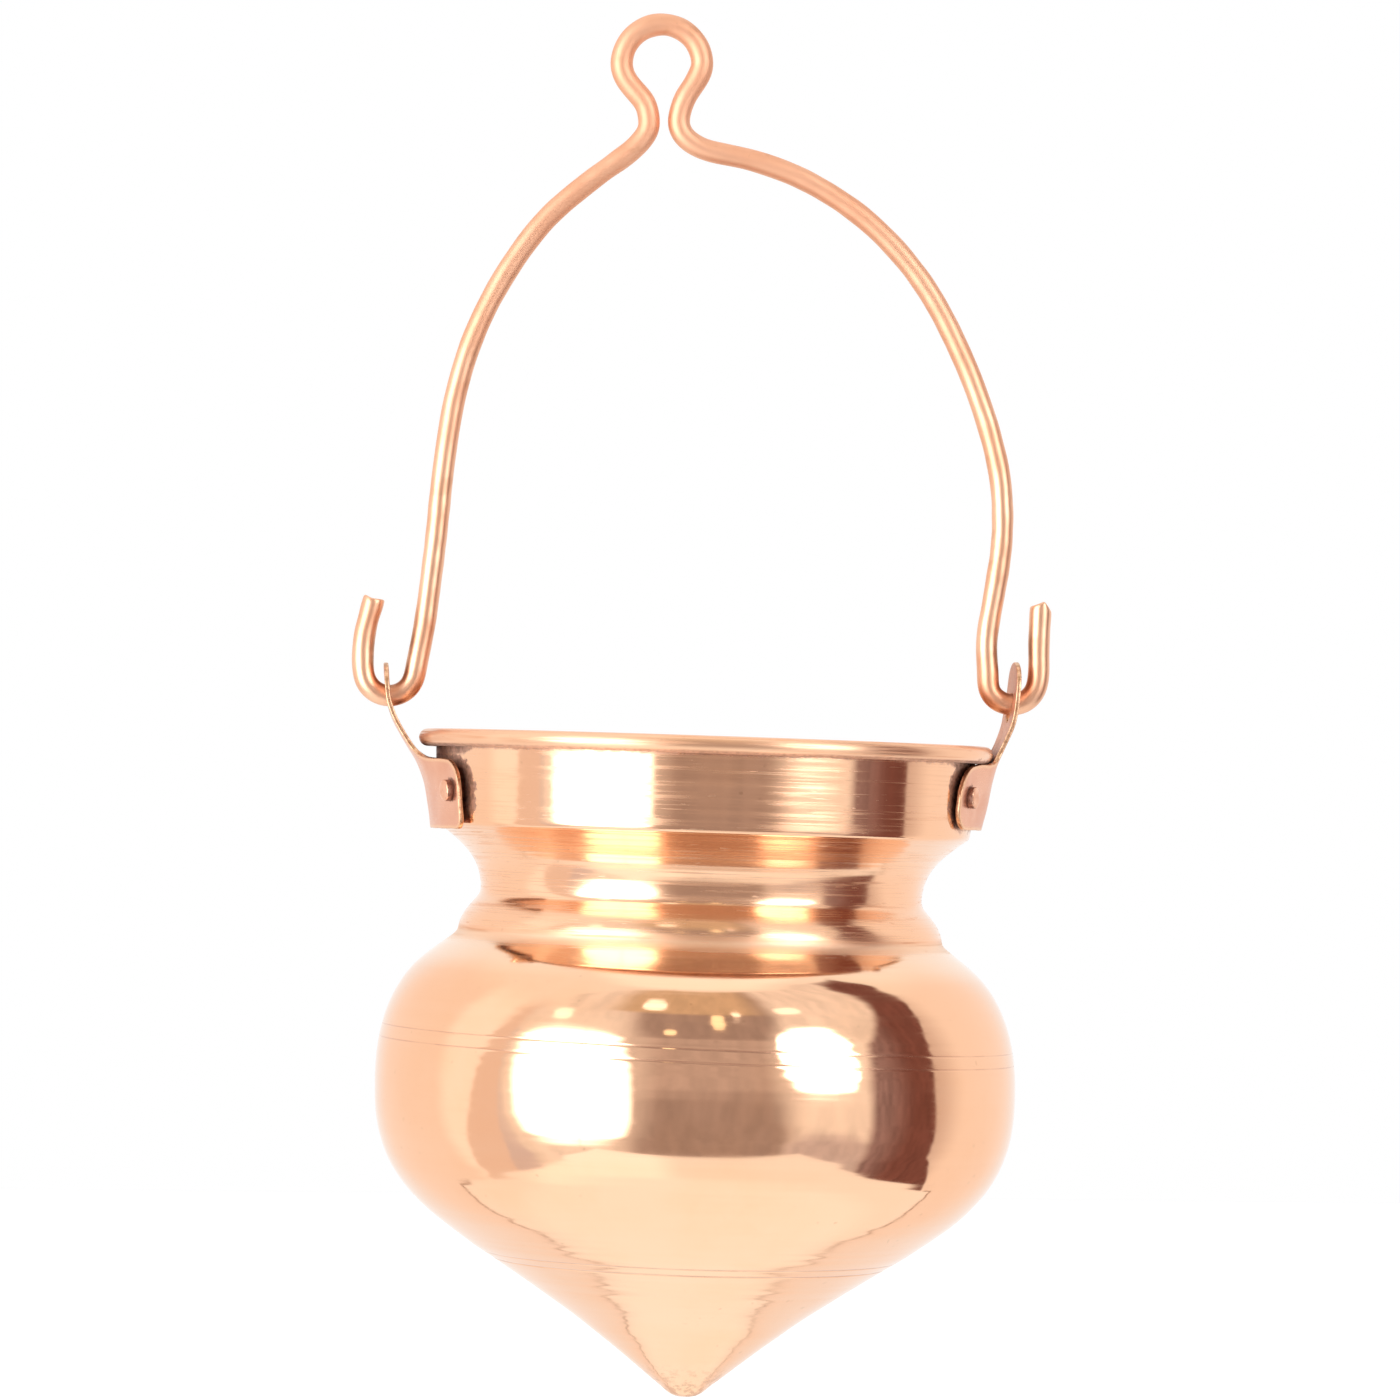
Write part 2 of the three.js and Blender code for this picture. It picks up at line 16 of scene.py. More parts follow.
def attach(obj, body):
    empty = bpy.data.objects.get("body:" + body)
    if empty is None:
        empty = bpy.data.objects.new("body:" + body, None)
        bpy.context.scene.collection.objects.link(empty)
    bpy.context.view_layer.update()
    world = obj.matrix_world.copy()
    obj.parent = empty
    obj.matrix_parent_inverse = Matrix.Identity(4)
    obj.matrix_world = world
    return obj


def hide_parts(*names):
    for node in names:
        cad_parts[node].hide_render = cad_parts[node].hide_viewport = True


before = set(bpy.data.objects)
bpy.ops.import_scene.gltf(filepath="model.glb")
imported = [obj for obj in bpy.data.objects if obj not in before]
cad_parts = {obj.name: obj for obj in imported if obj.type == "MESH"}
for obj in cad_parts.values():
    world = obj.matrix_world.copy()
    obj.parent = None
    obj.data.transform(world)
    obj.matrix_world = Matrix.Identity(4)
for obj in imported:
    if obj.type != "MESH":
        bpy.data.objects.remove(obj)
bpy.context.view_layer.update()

MM = 0.001

# Fits
CLEARANCE = 0.3

# Vessel, heights measured up from the lowest point of its nose, and places below its top
VESSEL_WALL = 0.9
VESSEL_HEIGHT = 130.8
RIM_ROLL_RADIUS = 1.7
COLLAR_TOP_RADIUS = 53.4
COLLAR_FOOT_RADIUS = 52.8
COLLAR_FOOT_HEIGHT = VESSEL_HEIGHT - 18.4
NECK = (43.6, VESSEL_HEIGHT - 31.4)
CREASE = (47.9, VESSEL_HEIGHT - 39.6)
BELLY = (63.4, 61)
CONE = (43, 29.6)
NOSE = (6.6, 3.5)
DRIP_HOLE_RADIUS = 1
NOSE_WEAR = 0.5

# Curves of the outline: direction in degrees and pull as a share of the chord, at both ends
THROAT_CURVE = ((-146, 0.37), (-90, 0.41))
RING_CURVE = ((-90, 0.18), (-88, 0.5))
SHOULDER_CURVE = ((-42, 0.19), (-90, 0.66))
BOWL_CURVE = ((-90, 0.53), (-142.5, 0.235))
CONE_CURVE = ((-148, 0.39), (-137, 0.29))
NOSE_CURVE = ((-146, 0.45), (-180, 0.35))

# Ears
EAR_SHEET = 0.9
EAR_BLANK_HEIGHT = 34.4
EAR_TOP_SLOPE = 0.3
TONGUE_ROOT_SHARE = 0.72
TONGUE_HALF_WIDTH = 7
TONGUE_ROOT_RISE = 4.5
EYE_END_RADIUS = 6
EYE_RADIUS = 3.05
SPINE_HELD_HALF_WIDTH = 6
FLANK_HALF_WIDTH = 21
SPINE_STEPS = 200

LEFT_EAR = dict(
    name="left", side=-1, plate_half_width=25.2, plate_height=13.6, rivet_spread=21, rivet_rise=7.5,
    foot_below_top=19.5, foot_corner=2, stand_off=0, bow_out=0, wrap_radius=58, flank_angle=4,
    shoulder_width=6, shoulder_drop=6,
    twist_angle=0, eye_below_tip=7.3, tarnish_reach=2.7, shoulder_fullness=1,
    lean_shares=(0, 0.2, 0.34, 0.46, 0.6, 0.72, 0.84, 1), lean_angles=(8, 10, 23, 35, 30, 20, 8, 4),
)
RIGHT_EAR = dict(
    name="right", side=1, plate_half_width=25.6, plate_height=13.15, rivet_spread=20, rivet_rise=6.4,
    foot_below_top=16.5, foot_corner=5, stand_off=0.1, bow_out=0.8, wrap_radius=55, flank_angle=3,
    shoulder_width=14, shoulder_drop=8.5,
    twist_angle=4, eye_below_tip=9.2, tarnish_reach=1.9, shoulder_fullness=0.75,
    lean_shares=(0, 0.34, 0.44, 0.56, 0.68, 0.8, 1), lean_angles=(11, 12, 21.5, 18.5, 9, 5, -1),
)

# Rivets
RIVET_SHANK_RADIUS = 1.2
RIVET_HEAD_RADIUS = 2.1
RIVET_HEAD_HEIGHT = 1.4
RIVET_HEAD_WEAR = 0.25
RIVET_TAIL_RADIUS = 2
RIVET_TAIL_HEIGHT = 0.9

# Bail
WIRE_RADIUS = 2.15
BAIL_DROP = 131.85
LOOP_OFFSET = 9.5
LOOP_RADIUS = 8.1
HOOK_RADIUS = 5.2
NECK_DROP = 10.9
NECK_SHIFT = 0.5
NECK_GAP = 1.5
LEFT_HOOK = (19.4, 6)  # rise of the cut leg, and the angle that it leans in over its hook
RIGHT_HOOK = (20.3, -1)
LEFT_ARM_SHARES = (
    (0.91, 0.055), (0.889, 0.11), (0.862, 0.215), (0.832, 0.36), (0.8, 0.455), (0.743, 0.545),
    (0.652, 0.632), (0.522, 0.718), (0.377, 0.779),
)
RIGHT_ARM_SHARES = (
    (0.921, 0.05), (0.916, 0.095), (0.938, 0.165), (0.96, 0.24), (0.958, 0.32), (0.926, 0.396),
    (0.8325, 0.516), (0.692, 0.6355), (0.517, 0.724), (0.321, 0.783), (0.151, 0.8125),
)
LEFT_LOOP_SHARES = ((-0.9, -0.34), (-0.66, -0.64), (-0.39, -0.95))
RIGHT_LOOP_SHARES = ((0.93, -0.2), (0.78, -0.48), (0.58, -0.78))
LEFT_BEND_SHARES = ((-0.22, -1.17), (-0.32, -1.34), (-0.51, -1.55), (-0.79, -1.77))
RIGHT_BEND_SHARES = ((0.33, -1.15), (0.43, -1.31), (0.58, -1.425), (0.81, -1.53))


# Meshes

def make_piece(name, points, faces, body, nodes, material, layers):
    """A smooth mesh piece from points in millimetres; each layer gives one pair for each point."""
    mesh = bpy.data.meshes.new(name)
    mesh.from_pydata((np.asarray(points) * MM).tolist(), [], faces)
    mesh.polygons.foreach_set("use_smooth", [True] * len(mesh.polygons))
    corners = np.zeros(len(mesh.loops), dtype=np.int32)
    mesh.loops.foreach_get("vertex_index", corners)
    for label, pairs in layers.items():
        layer = mesh.uv_layers.new(name=label)
        layer.data.foreach_set("uv", np.asarray(pairs, dtype=np.float32)[corners].ravel())
    mesh.materials.append(material)
    mesh.update()
    piece = bpy.data.objects.new(name, mesh)
    bpy.context.scene.collection.objects.link(piece)
    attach(piece, body)
    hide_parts(*nodes)
    return piece


def wall_faces(columns, count, rows):
    """Quads of a wall whose points run column by column, count to a column."""
    faces = []
    for column in range(columns):
        following = (column + 1) % columns
        for row in range(rows):
            below = (row + 1) % count
            faces.append((column * count + row, following * count + row,
                          following * count + below, column * count + below))
    return faces


def unit_rows(vectors):
    return vectors / np.linalg.norm(vectors, axis=1)[:, None]


def smoothstep(value, low, high):
    share = np.clip((value - low) / (high - low), 0, 1)
    return share * share * (3 - 2 * share)


def waves(seed, count, shortest, longest):
    """Seeded soft noise along a line: a sum of sines of mixed lengths, about one high."""
    source = random.Random(seed)
    parts = []
    for _ in range(count):
        length = shortest * (longest / shortest) ** source.random()
        parts.append((2 * math.pi / length, source.uniform(0, 2 * math.pi), source.uniform(0.5, 1)))
    scale = math.sqrt(2 / count)
    return lambda place: scale * sum(
        size * np.sin(pitch * place + start) for pitch, start, size in parts
    )


def dents(seed, count, most_round, longest, shortest):
    """Seeded soft relief over angle and length, closed round the pot."""
    source = random.Random(seed)
    parts = []
    for _ in range(count):
        turns = source.randint(-most_round, most_round)
        pitch = 2 * math.pi / (shortest * (longest / shortest) ** source.random())
        parts.append((turns, pitch * source.choice((-1, 1)), source.uniform(0, 2 * math.pi)))
    scale = math.sqrt(2 / count)
    return lambda angle, along: scale * sum(
        np.sin(turns * angle + pitch * along + start) for turns, pitch, start in parts
    )


# Vessel outline

def heading(angle):
    turn = math.radians(angle)
    return np.array((math.cos(turn), math.sin(turn)))


def sweep(start, end, curve, divisions=60):
    (start_angle, start_pull), (end_angle, end_pull) = curve
    start, end = np.asarray(start, float), np.asarray(end, float)
    chord = np.linalg.norm(end - start)
    first = start + heading(start_angle) * start_pull * chord
    second = end - heading(end_angle) * end_pull * chord
    t = np.linspace(0, 1, divisions + 1)[:, None]
    return (start * (1 - t) ** 3 + first * 3 * t * (1 - t) ** 2
            + second * 3 * t * t * (1 - t) + end * t ** 3)


def arc(centre, radius, start, end, divisions):
    turns = np.radians(np.linspace(start, end, divisions + 1))
    return np.stack((centre[0] + radius * np.cos(turns), centre[1] + radius * np.sin(turns)), axis=1)


def lengths_along(points):
    return np.concatenate(([0], np.cumsum(np.linalg.norm(np.diff(points, axis=0), axis=1))))


def resampled(points, places):
    along = lengths_along(points)
    return np.stack([np.interp(places, along, values) for values in points.T], axis=1)


def softened(points, step, reach):
    """Evens the spacing and rounds small corners, with both ends kept."""
    total = lengths_along(points)[-1]
    even = resampled(points, np.linspace(0, total, int(total / step) + 1))
    width = int(4 * reach / step)
    kernel = np.exp(-0.5 * (np.arange(-width, width + 1) * step / reach) ** 2)
    kernel /= kernel.sum()
    before = 2 * even[0] - even[width:0:-1]
    after = 2 * even[-1] - even[-2:-width - 2:-1]
    padded = np.concatenate((before, even, after))
    return np.stack([np.convolve(values, kernel, mode="valid") for values in padded.T], axis=1)


def outer_line():
    """The outside from the collar's top down to the edge of the drip hole."""
    collar_top = (COLLAR_TOP_RADIUS, VESSEL_HEIGHT - RIM_ROLL_RADIUS)
    collar_foot = (COLLAR_FOOT_RADIUS, COLLAR_FOOT_HEIGHT)
    return np.concatenate((
        np.array([collar_top, collar_foot]),
        sweep(collar_foot, NECK, THROAT_CURVE)[1:],
        sweep(NECK, CREASE, RING_CURVE)[1:],
        sweep(CREASE, BELLY, SHOULDER_CURVE)[1:],
        sweep(BELLY, CONE, BOWL_CURVE)[1:],
        sweep(CONE, NOSE, CONE_CURVE)[1:],
        sweep(NOSE, (DRIP_HOLE_RADIUS, 0), NOSE_CURVE)[1:],
    ))


def inset(points, distance):
    tangent = unit_rows(np.gradient(points, axis=0))
    return points + distance * np.stack((tangent[:, 1], -tangent[:, 0]), axis=1)


# Scribed lines: height on the pot, width, depth, and how far they run lower at the right than in
# front, and higher at the left
SCRIBED = (
    (69.1, 0.3, 0.045, 1.0),
    (71.6, 0.26, 0.04, 1.0),
    (27.1, 0.34, 0.16, 0.0),
    (28.5, 0.28, 0.12, 0.0),
)
LINE_STEP = 0.5
WORKED_STEP = 0.28
FINE_STEP = 0.12

# Unevenness left by the spinner: size, then seed, count and the shortest and longest wave
SHORT_RIPPLE = (0.007, (3, 26, 1.6, 7))
LONG_RIPPLE = (0.02, (4, 8, 9, 22))
TOOL_RIPPLE = (5, 24, 0.9, 2.6)
WORKED_RIPPLE = 0.0035
NECK_RIPPLE = 0.004
# size, then seed, count, most waves round the pot, and the longest and shortest along its wall
DENTS = (0.035, (11, 14, 5, 60, 25))
DENTS_HELD_SHARE = 0.6
OUTLINE_SOFTENING = (0.2, 0.5)
INSIDE_SOFTENING = (0.5, 1.0)
INSIDE_STEP = 1.5
NOSE_WORN_HEIGHT = 9


def vessel_mesh(segments=216):
    smooth = softened(outer_line(), *OUTLINE_SOFTENING)
    along = lengths_along(smooth)
    total = along[-1]
    places = [0.0]
    groove_places = []
    for height, width, depth, slope in SCRIBED:
        nearest = int(np.argmin(np.abs(smooth[:, 1] - height)))
        groove_places.append((along[nearest], width, depth, slope))
    worked_end = along[int(np.argmin(np.abs(smooth[:, 1] - CREASE[1])))]
    while places[-1] < total:
        near = any(abs(places[-1] + LINE_STEP / 2 - place) < 3 * width + slope
                   for place, width, _, slope in groove_places)
        coarse = WORKED_STEP if places[-1] < worked_end else LINE_STEP
        places.append(places[-1] + (FINE_STEP if near else coarse))
    places = np.array(places[:-1] + [total])
    line = resampled(smooth, places)
    tangent = unit_rows(np.gradient(line, axis=0))
    outward = np.stack((-tangent[:, 1], tangent[:, 0]), axis=1)
    ripple = sum(size * waves(*kind)(places) for size, kind in (SHORT_RIPPLE, LONG_RIPPLE))
    worked = smoothstep(worked_end - places, 0, 3)
    neck = worked * smoothstep(places, 17, 21)
    ripple += (WORKED_RIPPLE * worked + NECK_RIPPLE * neck) * waves(*TOOL_RIPPLE)(places)
    ripple *= smoothstep(places, 0, 3) * smoothstep(total - places, 0, 4)
    line = line + outward * ripple[:, None]
    inside_places = np.arange(0, total, INSIDE_STEP)
    inner = inset(resampled(softened(outer_line(), *INSIDE_SOFTENING), inside_places), VESSEL_WALL)[2:]
    roll = (COLLAR_TOP_RADIUS + RIM_ROLL_RADIUS, VESSEL_HEIGHT - RIM_ROLL_RADIUS)
    void = RIM_ROLL_RADIUS - VESSEL_WALL
    slit = COLLAR_TOP_RADIUS + CLEARANCE
    rim_outside = np.concatenate((
        np.array([(slit, roll[1] - RIM_ROLL_RADIUS + 0.1)]),
        arc(roll, RIM_ROLL_RADIUS, -86, 90, 26),
        arc((COLLAR_TOP_RADIUS, roll[1] + void), VESSEL_WALL, 90, 180, 8)[1:],
    ))
    rim_inside = np.concatenate((
        np.array([(COLLAR_TOP_RADIUS, roll[1] + void)]),
        arc(roll, void, 90, -90, 12),
        np.array([(slit, roll[1] - void - 0.1)]),
    ))
    outline = np.concatenate((rim_outside, inner, line[::-1], rim_inside))
    count = len(outline)
    outside_from = len(rim_outside) + len(inner)
    # length along the outline, kept as a texture coordinate for the spinner's lines
    run = lengths_along(outline)
    angles = np.linspace(0, 2 * math.pi, segments, endpoint=False)
    dent_size, dent_kind = DENTS
    relief = dent_size * dents(*dent_kind)(angles[:, None], run[None, :])
    held = smoothstep(outline[:, 1], COLLAR_FOOT_HEIGHT - 4, COLLAR_FOOT_HEIGHT)
    relief *= (1 - DENTS_HELD_SHARE * held)[None, :]
    thin = smoothstep(outline[:, 0], 1, 12)
    radii = outline[None, :, 0] + relief * thin[None, :]
    outer = slice(outside_from, outside_from + len(line))
    for place, width, depth, slope in groove_places:
        off_line = places[None, ::-1] - place - slope * np.cos(angles)[:, None]
        radii[:, outer] -= depth * np.exp(-0.5 * (off_line / (width / 2)) ** 2)
    lifted = outline[:, 1] + NOSE_WEAR * (1 - smoothstep(outline[:, 1], 0, NOSE_WORN_HEIGHT))
    heights = np.broadcast_to(lifted[None, :], radii.shape)
    cosines, sines = np.cos(angles)[:, None], np.sin(angles)[:, None]
    points = np.stack((radii * cosines, radii * sines, heights), axis=2)
    uvs = np.stack((
        np.repeat(angles / (2 * math.pi), count), np.tile(run, segments) * MM,
    ), axis=1)
    return points.reshape(-1, 3), wall_faces(segments, count, count), {"turned": uvs}


# Ears

def collar_radius_at(height):
    top = VESSEL_HEIGHT - RIM_ROLL_RADIUS
    share = np.clip((height - COLLAR_FOOT_HEIGHT) / (top - COLLAR_FOOT_HEIGHT), 0, 1)
    return COLLAR_FOOT_RADIUS + (COLLAR_TOP_RADIUS - COLLAR_FOOT_RADIUS) * share


def lean_at(ear, share):
    stops, angles = ear["lean_shares"], ear["lean_angles"]
    i = 1
    while i < len(stops) - 1 and share > stops[i]:
        i += 1
    eased = smoothstep(share, stops[i - 1], stops[i])
    return math.radians(angles[i - 1] + (angles[i] - angles[i - 1]) * eased)


class BentSheet:
    """The ear's bent middle face, in the pot's upright frame, made for the right side."""

    def __init__(self, ear):
        self.ear = ear
        self.step = EAR_BLANK_HEIGHT / SPINE_STEPS
        self.foot_height = VESSEL_HEIGHT - ear["foot_below_top"]
        inner_radius = collar_radius_at(self.foot_height) + CLEARANCE + ear["stand_off"]
        self.foot_radius = inner_radius + EAR_SHEET / 2
        radii, heights = [self.foot_radius + ear["bow_out"]], [self.foot_height]
        for i in range(SPINE_STEPS):
            lean = lean_at(ear, (i + 0.5) / SPINE_STEPS)
            radii.append(radii[i] + self.step * math.sin(lean))
            heights.append(heights[i] + self.step * math.cos(lean))
        self.radii, self.heights = np.array(radii), np.array(heights)
        self.reaches = np.arange(SPINE_STEPS + 1) * self.step

    def point(self, across, up):
        ear = self.ear
        radius = np.interp(up, self.reaches, self.radii)
        height = np.interp(up, self.reaches, self.heights)
        flattening = smoothstep(up, ear["plate_height"], EAR_BLANK_HEIGHT - ear["eye_below_tip"])
        bend = (1 - flattening) / ear["wrap_radius"]
        twist = flattening * math.tan(math.radians(ear["twist_angle"]))
        spine = np.stack((radius - bend * across ** 2 / 2 - twist * across, across, height), axis=-1)
        lean = math.radians(ear["flank_angle"])
        wrap = across / ear["wrap_radius"]
        flank_place = np.stack((
            self.foot_radius + up * math.sin(lean) - ear["wrap_radius"] * (1 - np.cos(wrap)),
            ear["wrap_radius"] * np.sin(wrap),
            self.foot_height + up * math.cos(lean),
        ), axis=-1)
        flank = smoothstep(np.abs(across), SPINE_HELD_HALF_WIDTH, FLANK_HALF_WIDTH)[..., None]
        return spine * (1 - flank) + flank_place * flank

    def normal(self, across, up):
        reach = 0.09
        side = self.point(across + reach, up) - self.point(across - reach, up)
        rise = self.point(across, up + reach) - self.point(across, up - reach)
        square = np.cross(side, rise)
        return square / np.linalg.norm(square, axis=-1, keepdims=True)


def blank_edge(ear):
    """Half of the blank's edge, from the middle of its lower edge to the end of its eye."""
    top = ear["plate_height"]
    round_foot = min(ear["foot_corner"], top - ear["shoulder_drop"])
    corner = (ear["plate_half_width"] - round_foot, round_foot)
    shoulder_x = ear["plate_half_width"] - ear["shoulder_width"]
    root_x = TONGUE_HALF_WIDTH + (shoulder_x - TONGUE_HALF_WIDTH) * TONGUE_ROOT_SHARE
    turns = np.linspace(0, math.pi / 2, 25)
    fullness = ear["shoulder_fullness"]
    shoulder = np.stack((
        shoulder_x + ear["shoulder_width"] * np.maximum(np.cos(turns), 0) ** fullness,
        top - ear["shoulder_drop"] + ear["shoulder_drop"] * np.sin(turns) ** fullness,
    ), axis=1)
    root = np.array((root_x, top + EAR_TOP_SLOPE))
    pull = np.array((TONGUE_HALF_WIDTH, top + EAR_TOP_SLOPE))
    narrow = np.array((TONGUE_HALF_WIDTH, top + TONGUE_ROOT_RISE))
    t = np.linspace(0, 1, 15)[:, None]
    hollow = root * (1 - t) ** 2 + pull * 2 * t * (1 - t) + narrow * t * t
    end = (0, EAR_BLANK_HEIGHT - EYE_END_RADIUS)
    return np.concatenate((
        np.array([(0, 0)]),
        arc(corner, round_foot, -90, 0, 10),
        shoulder,
        hollow,
        arc(end, EYE_END_RADIUS, 0, 90, 14),
    ))


def ring_inset(ring, distance):
    tangent = unit_rows(np.roll(ring, -1, axis=0) - np.roll(ring, 1, axis=0))
    return ring + distance * np.stack((-tangent[:, 1], tangent[:, 0]), axis=1)


def even_ring(points, step):
    closed = np.concatenate((points, points[:1]))
    total = lengths_along(closed)[-1]
    return resampled(closed, np.linspace(0, total, int(total / step), endpoint=False))


# Ears' meshes: spacing of points on the edge and in the field, how near the field comes to edge and
# eye, how far a point strays, the rounded edge, and the unevenness of hand-cut and hand-bent sheet
EDGE_STEP = 0.6
FIELD_STEP = 0.9
FIELD_GAP = 0.55
EYE_GAP = 0.7
STRAY = 0.1
ROUND_EDGE = 0.2
CUT_WOBBLE = 0.05
BEND_UNEVENNESS = 0.05
EYE_SIDES = 44


def ear_mesh(sheet, seed):
    ear = sheet.ear
    half = blank_edge(ear)
    source = random.Random(seed)
    outer = even_ring(np.concatenate((half, (half * (-1, 1))[::-1][1:-1])), EDGE_STEP)
    drift = waves(seed, 12, 4, 18)(lengths_along(outer))[:, None] * CUT_WOBBLE
    outer = ring_inset(outer, 0) + drift * (ring_inset(outer, 1) - outer)
    eye_centre = np.array((0, EAR_BLANK_HEIGHT - ear["eye_below_tip"]))
    # the hole's ring runs the other way, so that one inset rule serves both
    hole = arc(eye_centre, EYE_RADIUS, 0, -360, EYE_SIDES)[:-1]
    rings = [outer, hole]
    faces_ring = [ring_inset(ring, ROUND_EDGE) for ring in rings]
    low, high = outer.min(axis=0), outer.max(axis=0)
    grid = []
    for i, up in enumerate(np.arange(low[1] + FIELD_STEP, high[1], FIELD_STEP)):
        shift = FIELD_STEP / 2 if i % 2 else 0
        for across in np.arange(low[0] + FIELD_STEP + shift, high[0], FIELD_STEP):
            place = np.array((across, up))
            edge_gap = min(np.min(np.linalg.norm(ring - place, axis=1)) for ring in faces_ring)
            eye_gap = np.linalg.norm(place - eye_centre) - EYE_RADIUS
            if edge_gap >= FIELD_GAP and eye_gap >= EYE_GAP and inside(place, outer):
                grid.append(place + (source.uniform(-STRAY, STRAY), source.uniform(-STRAY, STRAY)))
    flat = [Vector(p) for ring in faces_ring for p in ring] + [Vector(p) for p in grid]
    rim_places = np.concatenate(rings)
    bounds, start = [], 0
    for ring in faces_ring:
        count = len(ring)
        bounds += [(start + i, start + (i + 1) % count) for i in range(count)]
        start += count
    places, _, triangles, origins, _, _ = plane_geometry.delaunay_2d_cdt(flat, bounds, [], 1, 1e-6)
    if len(places) != len(flat):
        raise ValueError("the ear's blank gained or lost points")
    order = [origin[0] for origin in origins]
    places = np.array([tuple(p) for p in places])
    kept = []
    for triangle in triangles:
        middle = places[list(triangle)].mean(axis=0)
        if np.linalg.norm(middle - eye_centre) > EYE_RADIUS and inside(middle, outer):
            kept.append(tuple(order[i] for i in triangle))
    flat = np.array([tuple(p) for p in flat])
    half_sheet = EAR_SHEET / 2
    unevenness = waves(seed + 1, 7, 9, 24)
    cross_unevenness = waves(seed + 2, 7, 8, 20)

    def bent(uv, lift):
        across, up = uv.T
        uneven = BEND_UNEVENNESS * (unevenness(across + 0.3 * up) + cross_unevenness(up - 0.4 * across))
        return sheet.point(across, up) + sheet.normal(across, up) * (lift + uneven)[:, None]

    count = len(flat)
    points = [bent(flat, np.full(count, half_sheet)), bent(flat, np.full(count, -half_sheet))]
    uvs = [flat, flat]
    from_edge = np.array([np.min(np.linalg.norm(rim_places - place, axis=1)) for place in flat]) * MM
    edges = [np.stack((from_edge, np.full(count, face)), axis=1) for face in (1.0, -1.0)]
    faces = [(a, b, c) for a, b, c in kept] + [(count + c, count + b, count + a) for a, b, c in kept]
    start, made = 0, 2 * count
    profile = [(ROUND_EDGE * (1 - math.sin(turn)), half_sheet - ROUND_EDGE * (1 - math.cos(turn)))
               for turn in (math.pi / 6, math.pi / 3, math.pi / 2)]
    profile += [(step, -lift) for step, lift in reversed(profile)]
    for ring in rings:
        size = len(ring)
        loops = [[start + i for i in range(size)]]
        for step, lift in profile:
            moved = ring_inset(ring, step)
            points.append(bent(moved, np.full(size, lift)))
            uvs.append(moved)
            edges.append(np.tile((step * MM, 0.9 * lift / half_sheet), (size, 1)))
            loops.append([made + i for i in range(size)])
            made += size
        loops.append([count + start + i for i in range(size)])
        for upper, lower in zip(loops, loops[1:]):
            for i in range(size):
                following = (i + 1) % size
                faces.append((upper[i], lower[i], lower[following], upper[following]))
        start += size
    layers = {"turned": np.concatenate(uvs) * MM, "edge": np.concatenate(edges)}
    return np.concatenate(points), faces, layers


def inside(place, ring):
    x, y = place
    ahead = np.roll(ring, -1, axis=0)
    crosses = (ring[:, 1] > y) != (ahead[:, 1] > y)
    slope = (ahead[:, 0] - ring[:, 0]) / np.where(crosses, ahead[:, 1] - ring[:, 1], 1)
    return bool(np.sum(crosses & (x < ring[:, 0] + slope * (y - ring[:, 1]))) % 2)


# Rivets

def rivet_frame(sheet, hand):
    ear = sheet.ear
    across, up = np.array(hand * ear["rivet_spread"], float), np.array(ear["rivet_rise"], float)
    place, plate_normal = sheet.point(across, up), sheet.normal(across, up)
    collar_normal = np.array((place[0], place[1], 0))
    collar_normal /= np.linalg.norm(collar_normal)
    lean = math.acos(min(1, plate_normal @ collar_normal)) / 2
    direction = plate_normal + collar_normal
    direction /= np.linalg.norm(direction)
    wall_reach = math.hypot(place[0], place[1]) - collar_radius_at(place[2])
    return place, direction, lean, wall_reach


RIVET_EDGE = 0.3
RIVET_CROWN = 0.1
RIVET_OVERLAP = 0.05
RIVET_TILTED_WEAR = 0.1
RIVET_UNEVENNESS = 0.05


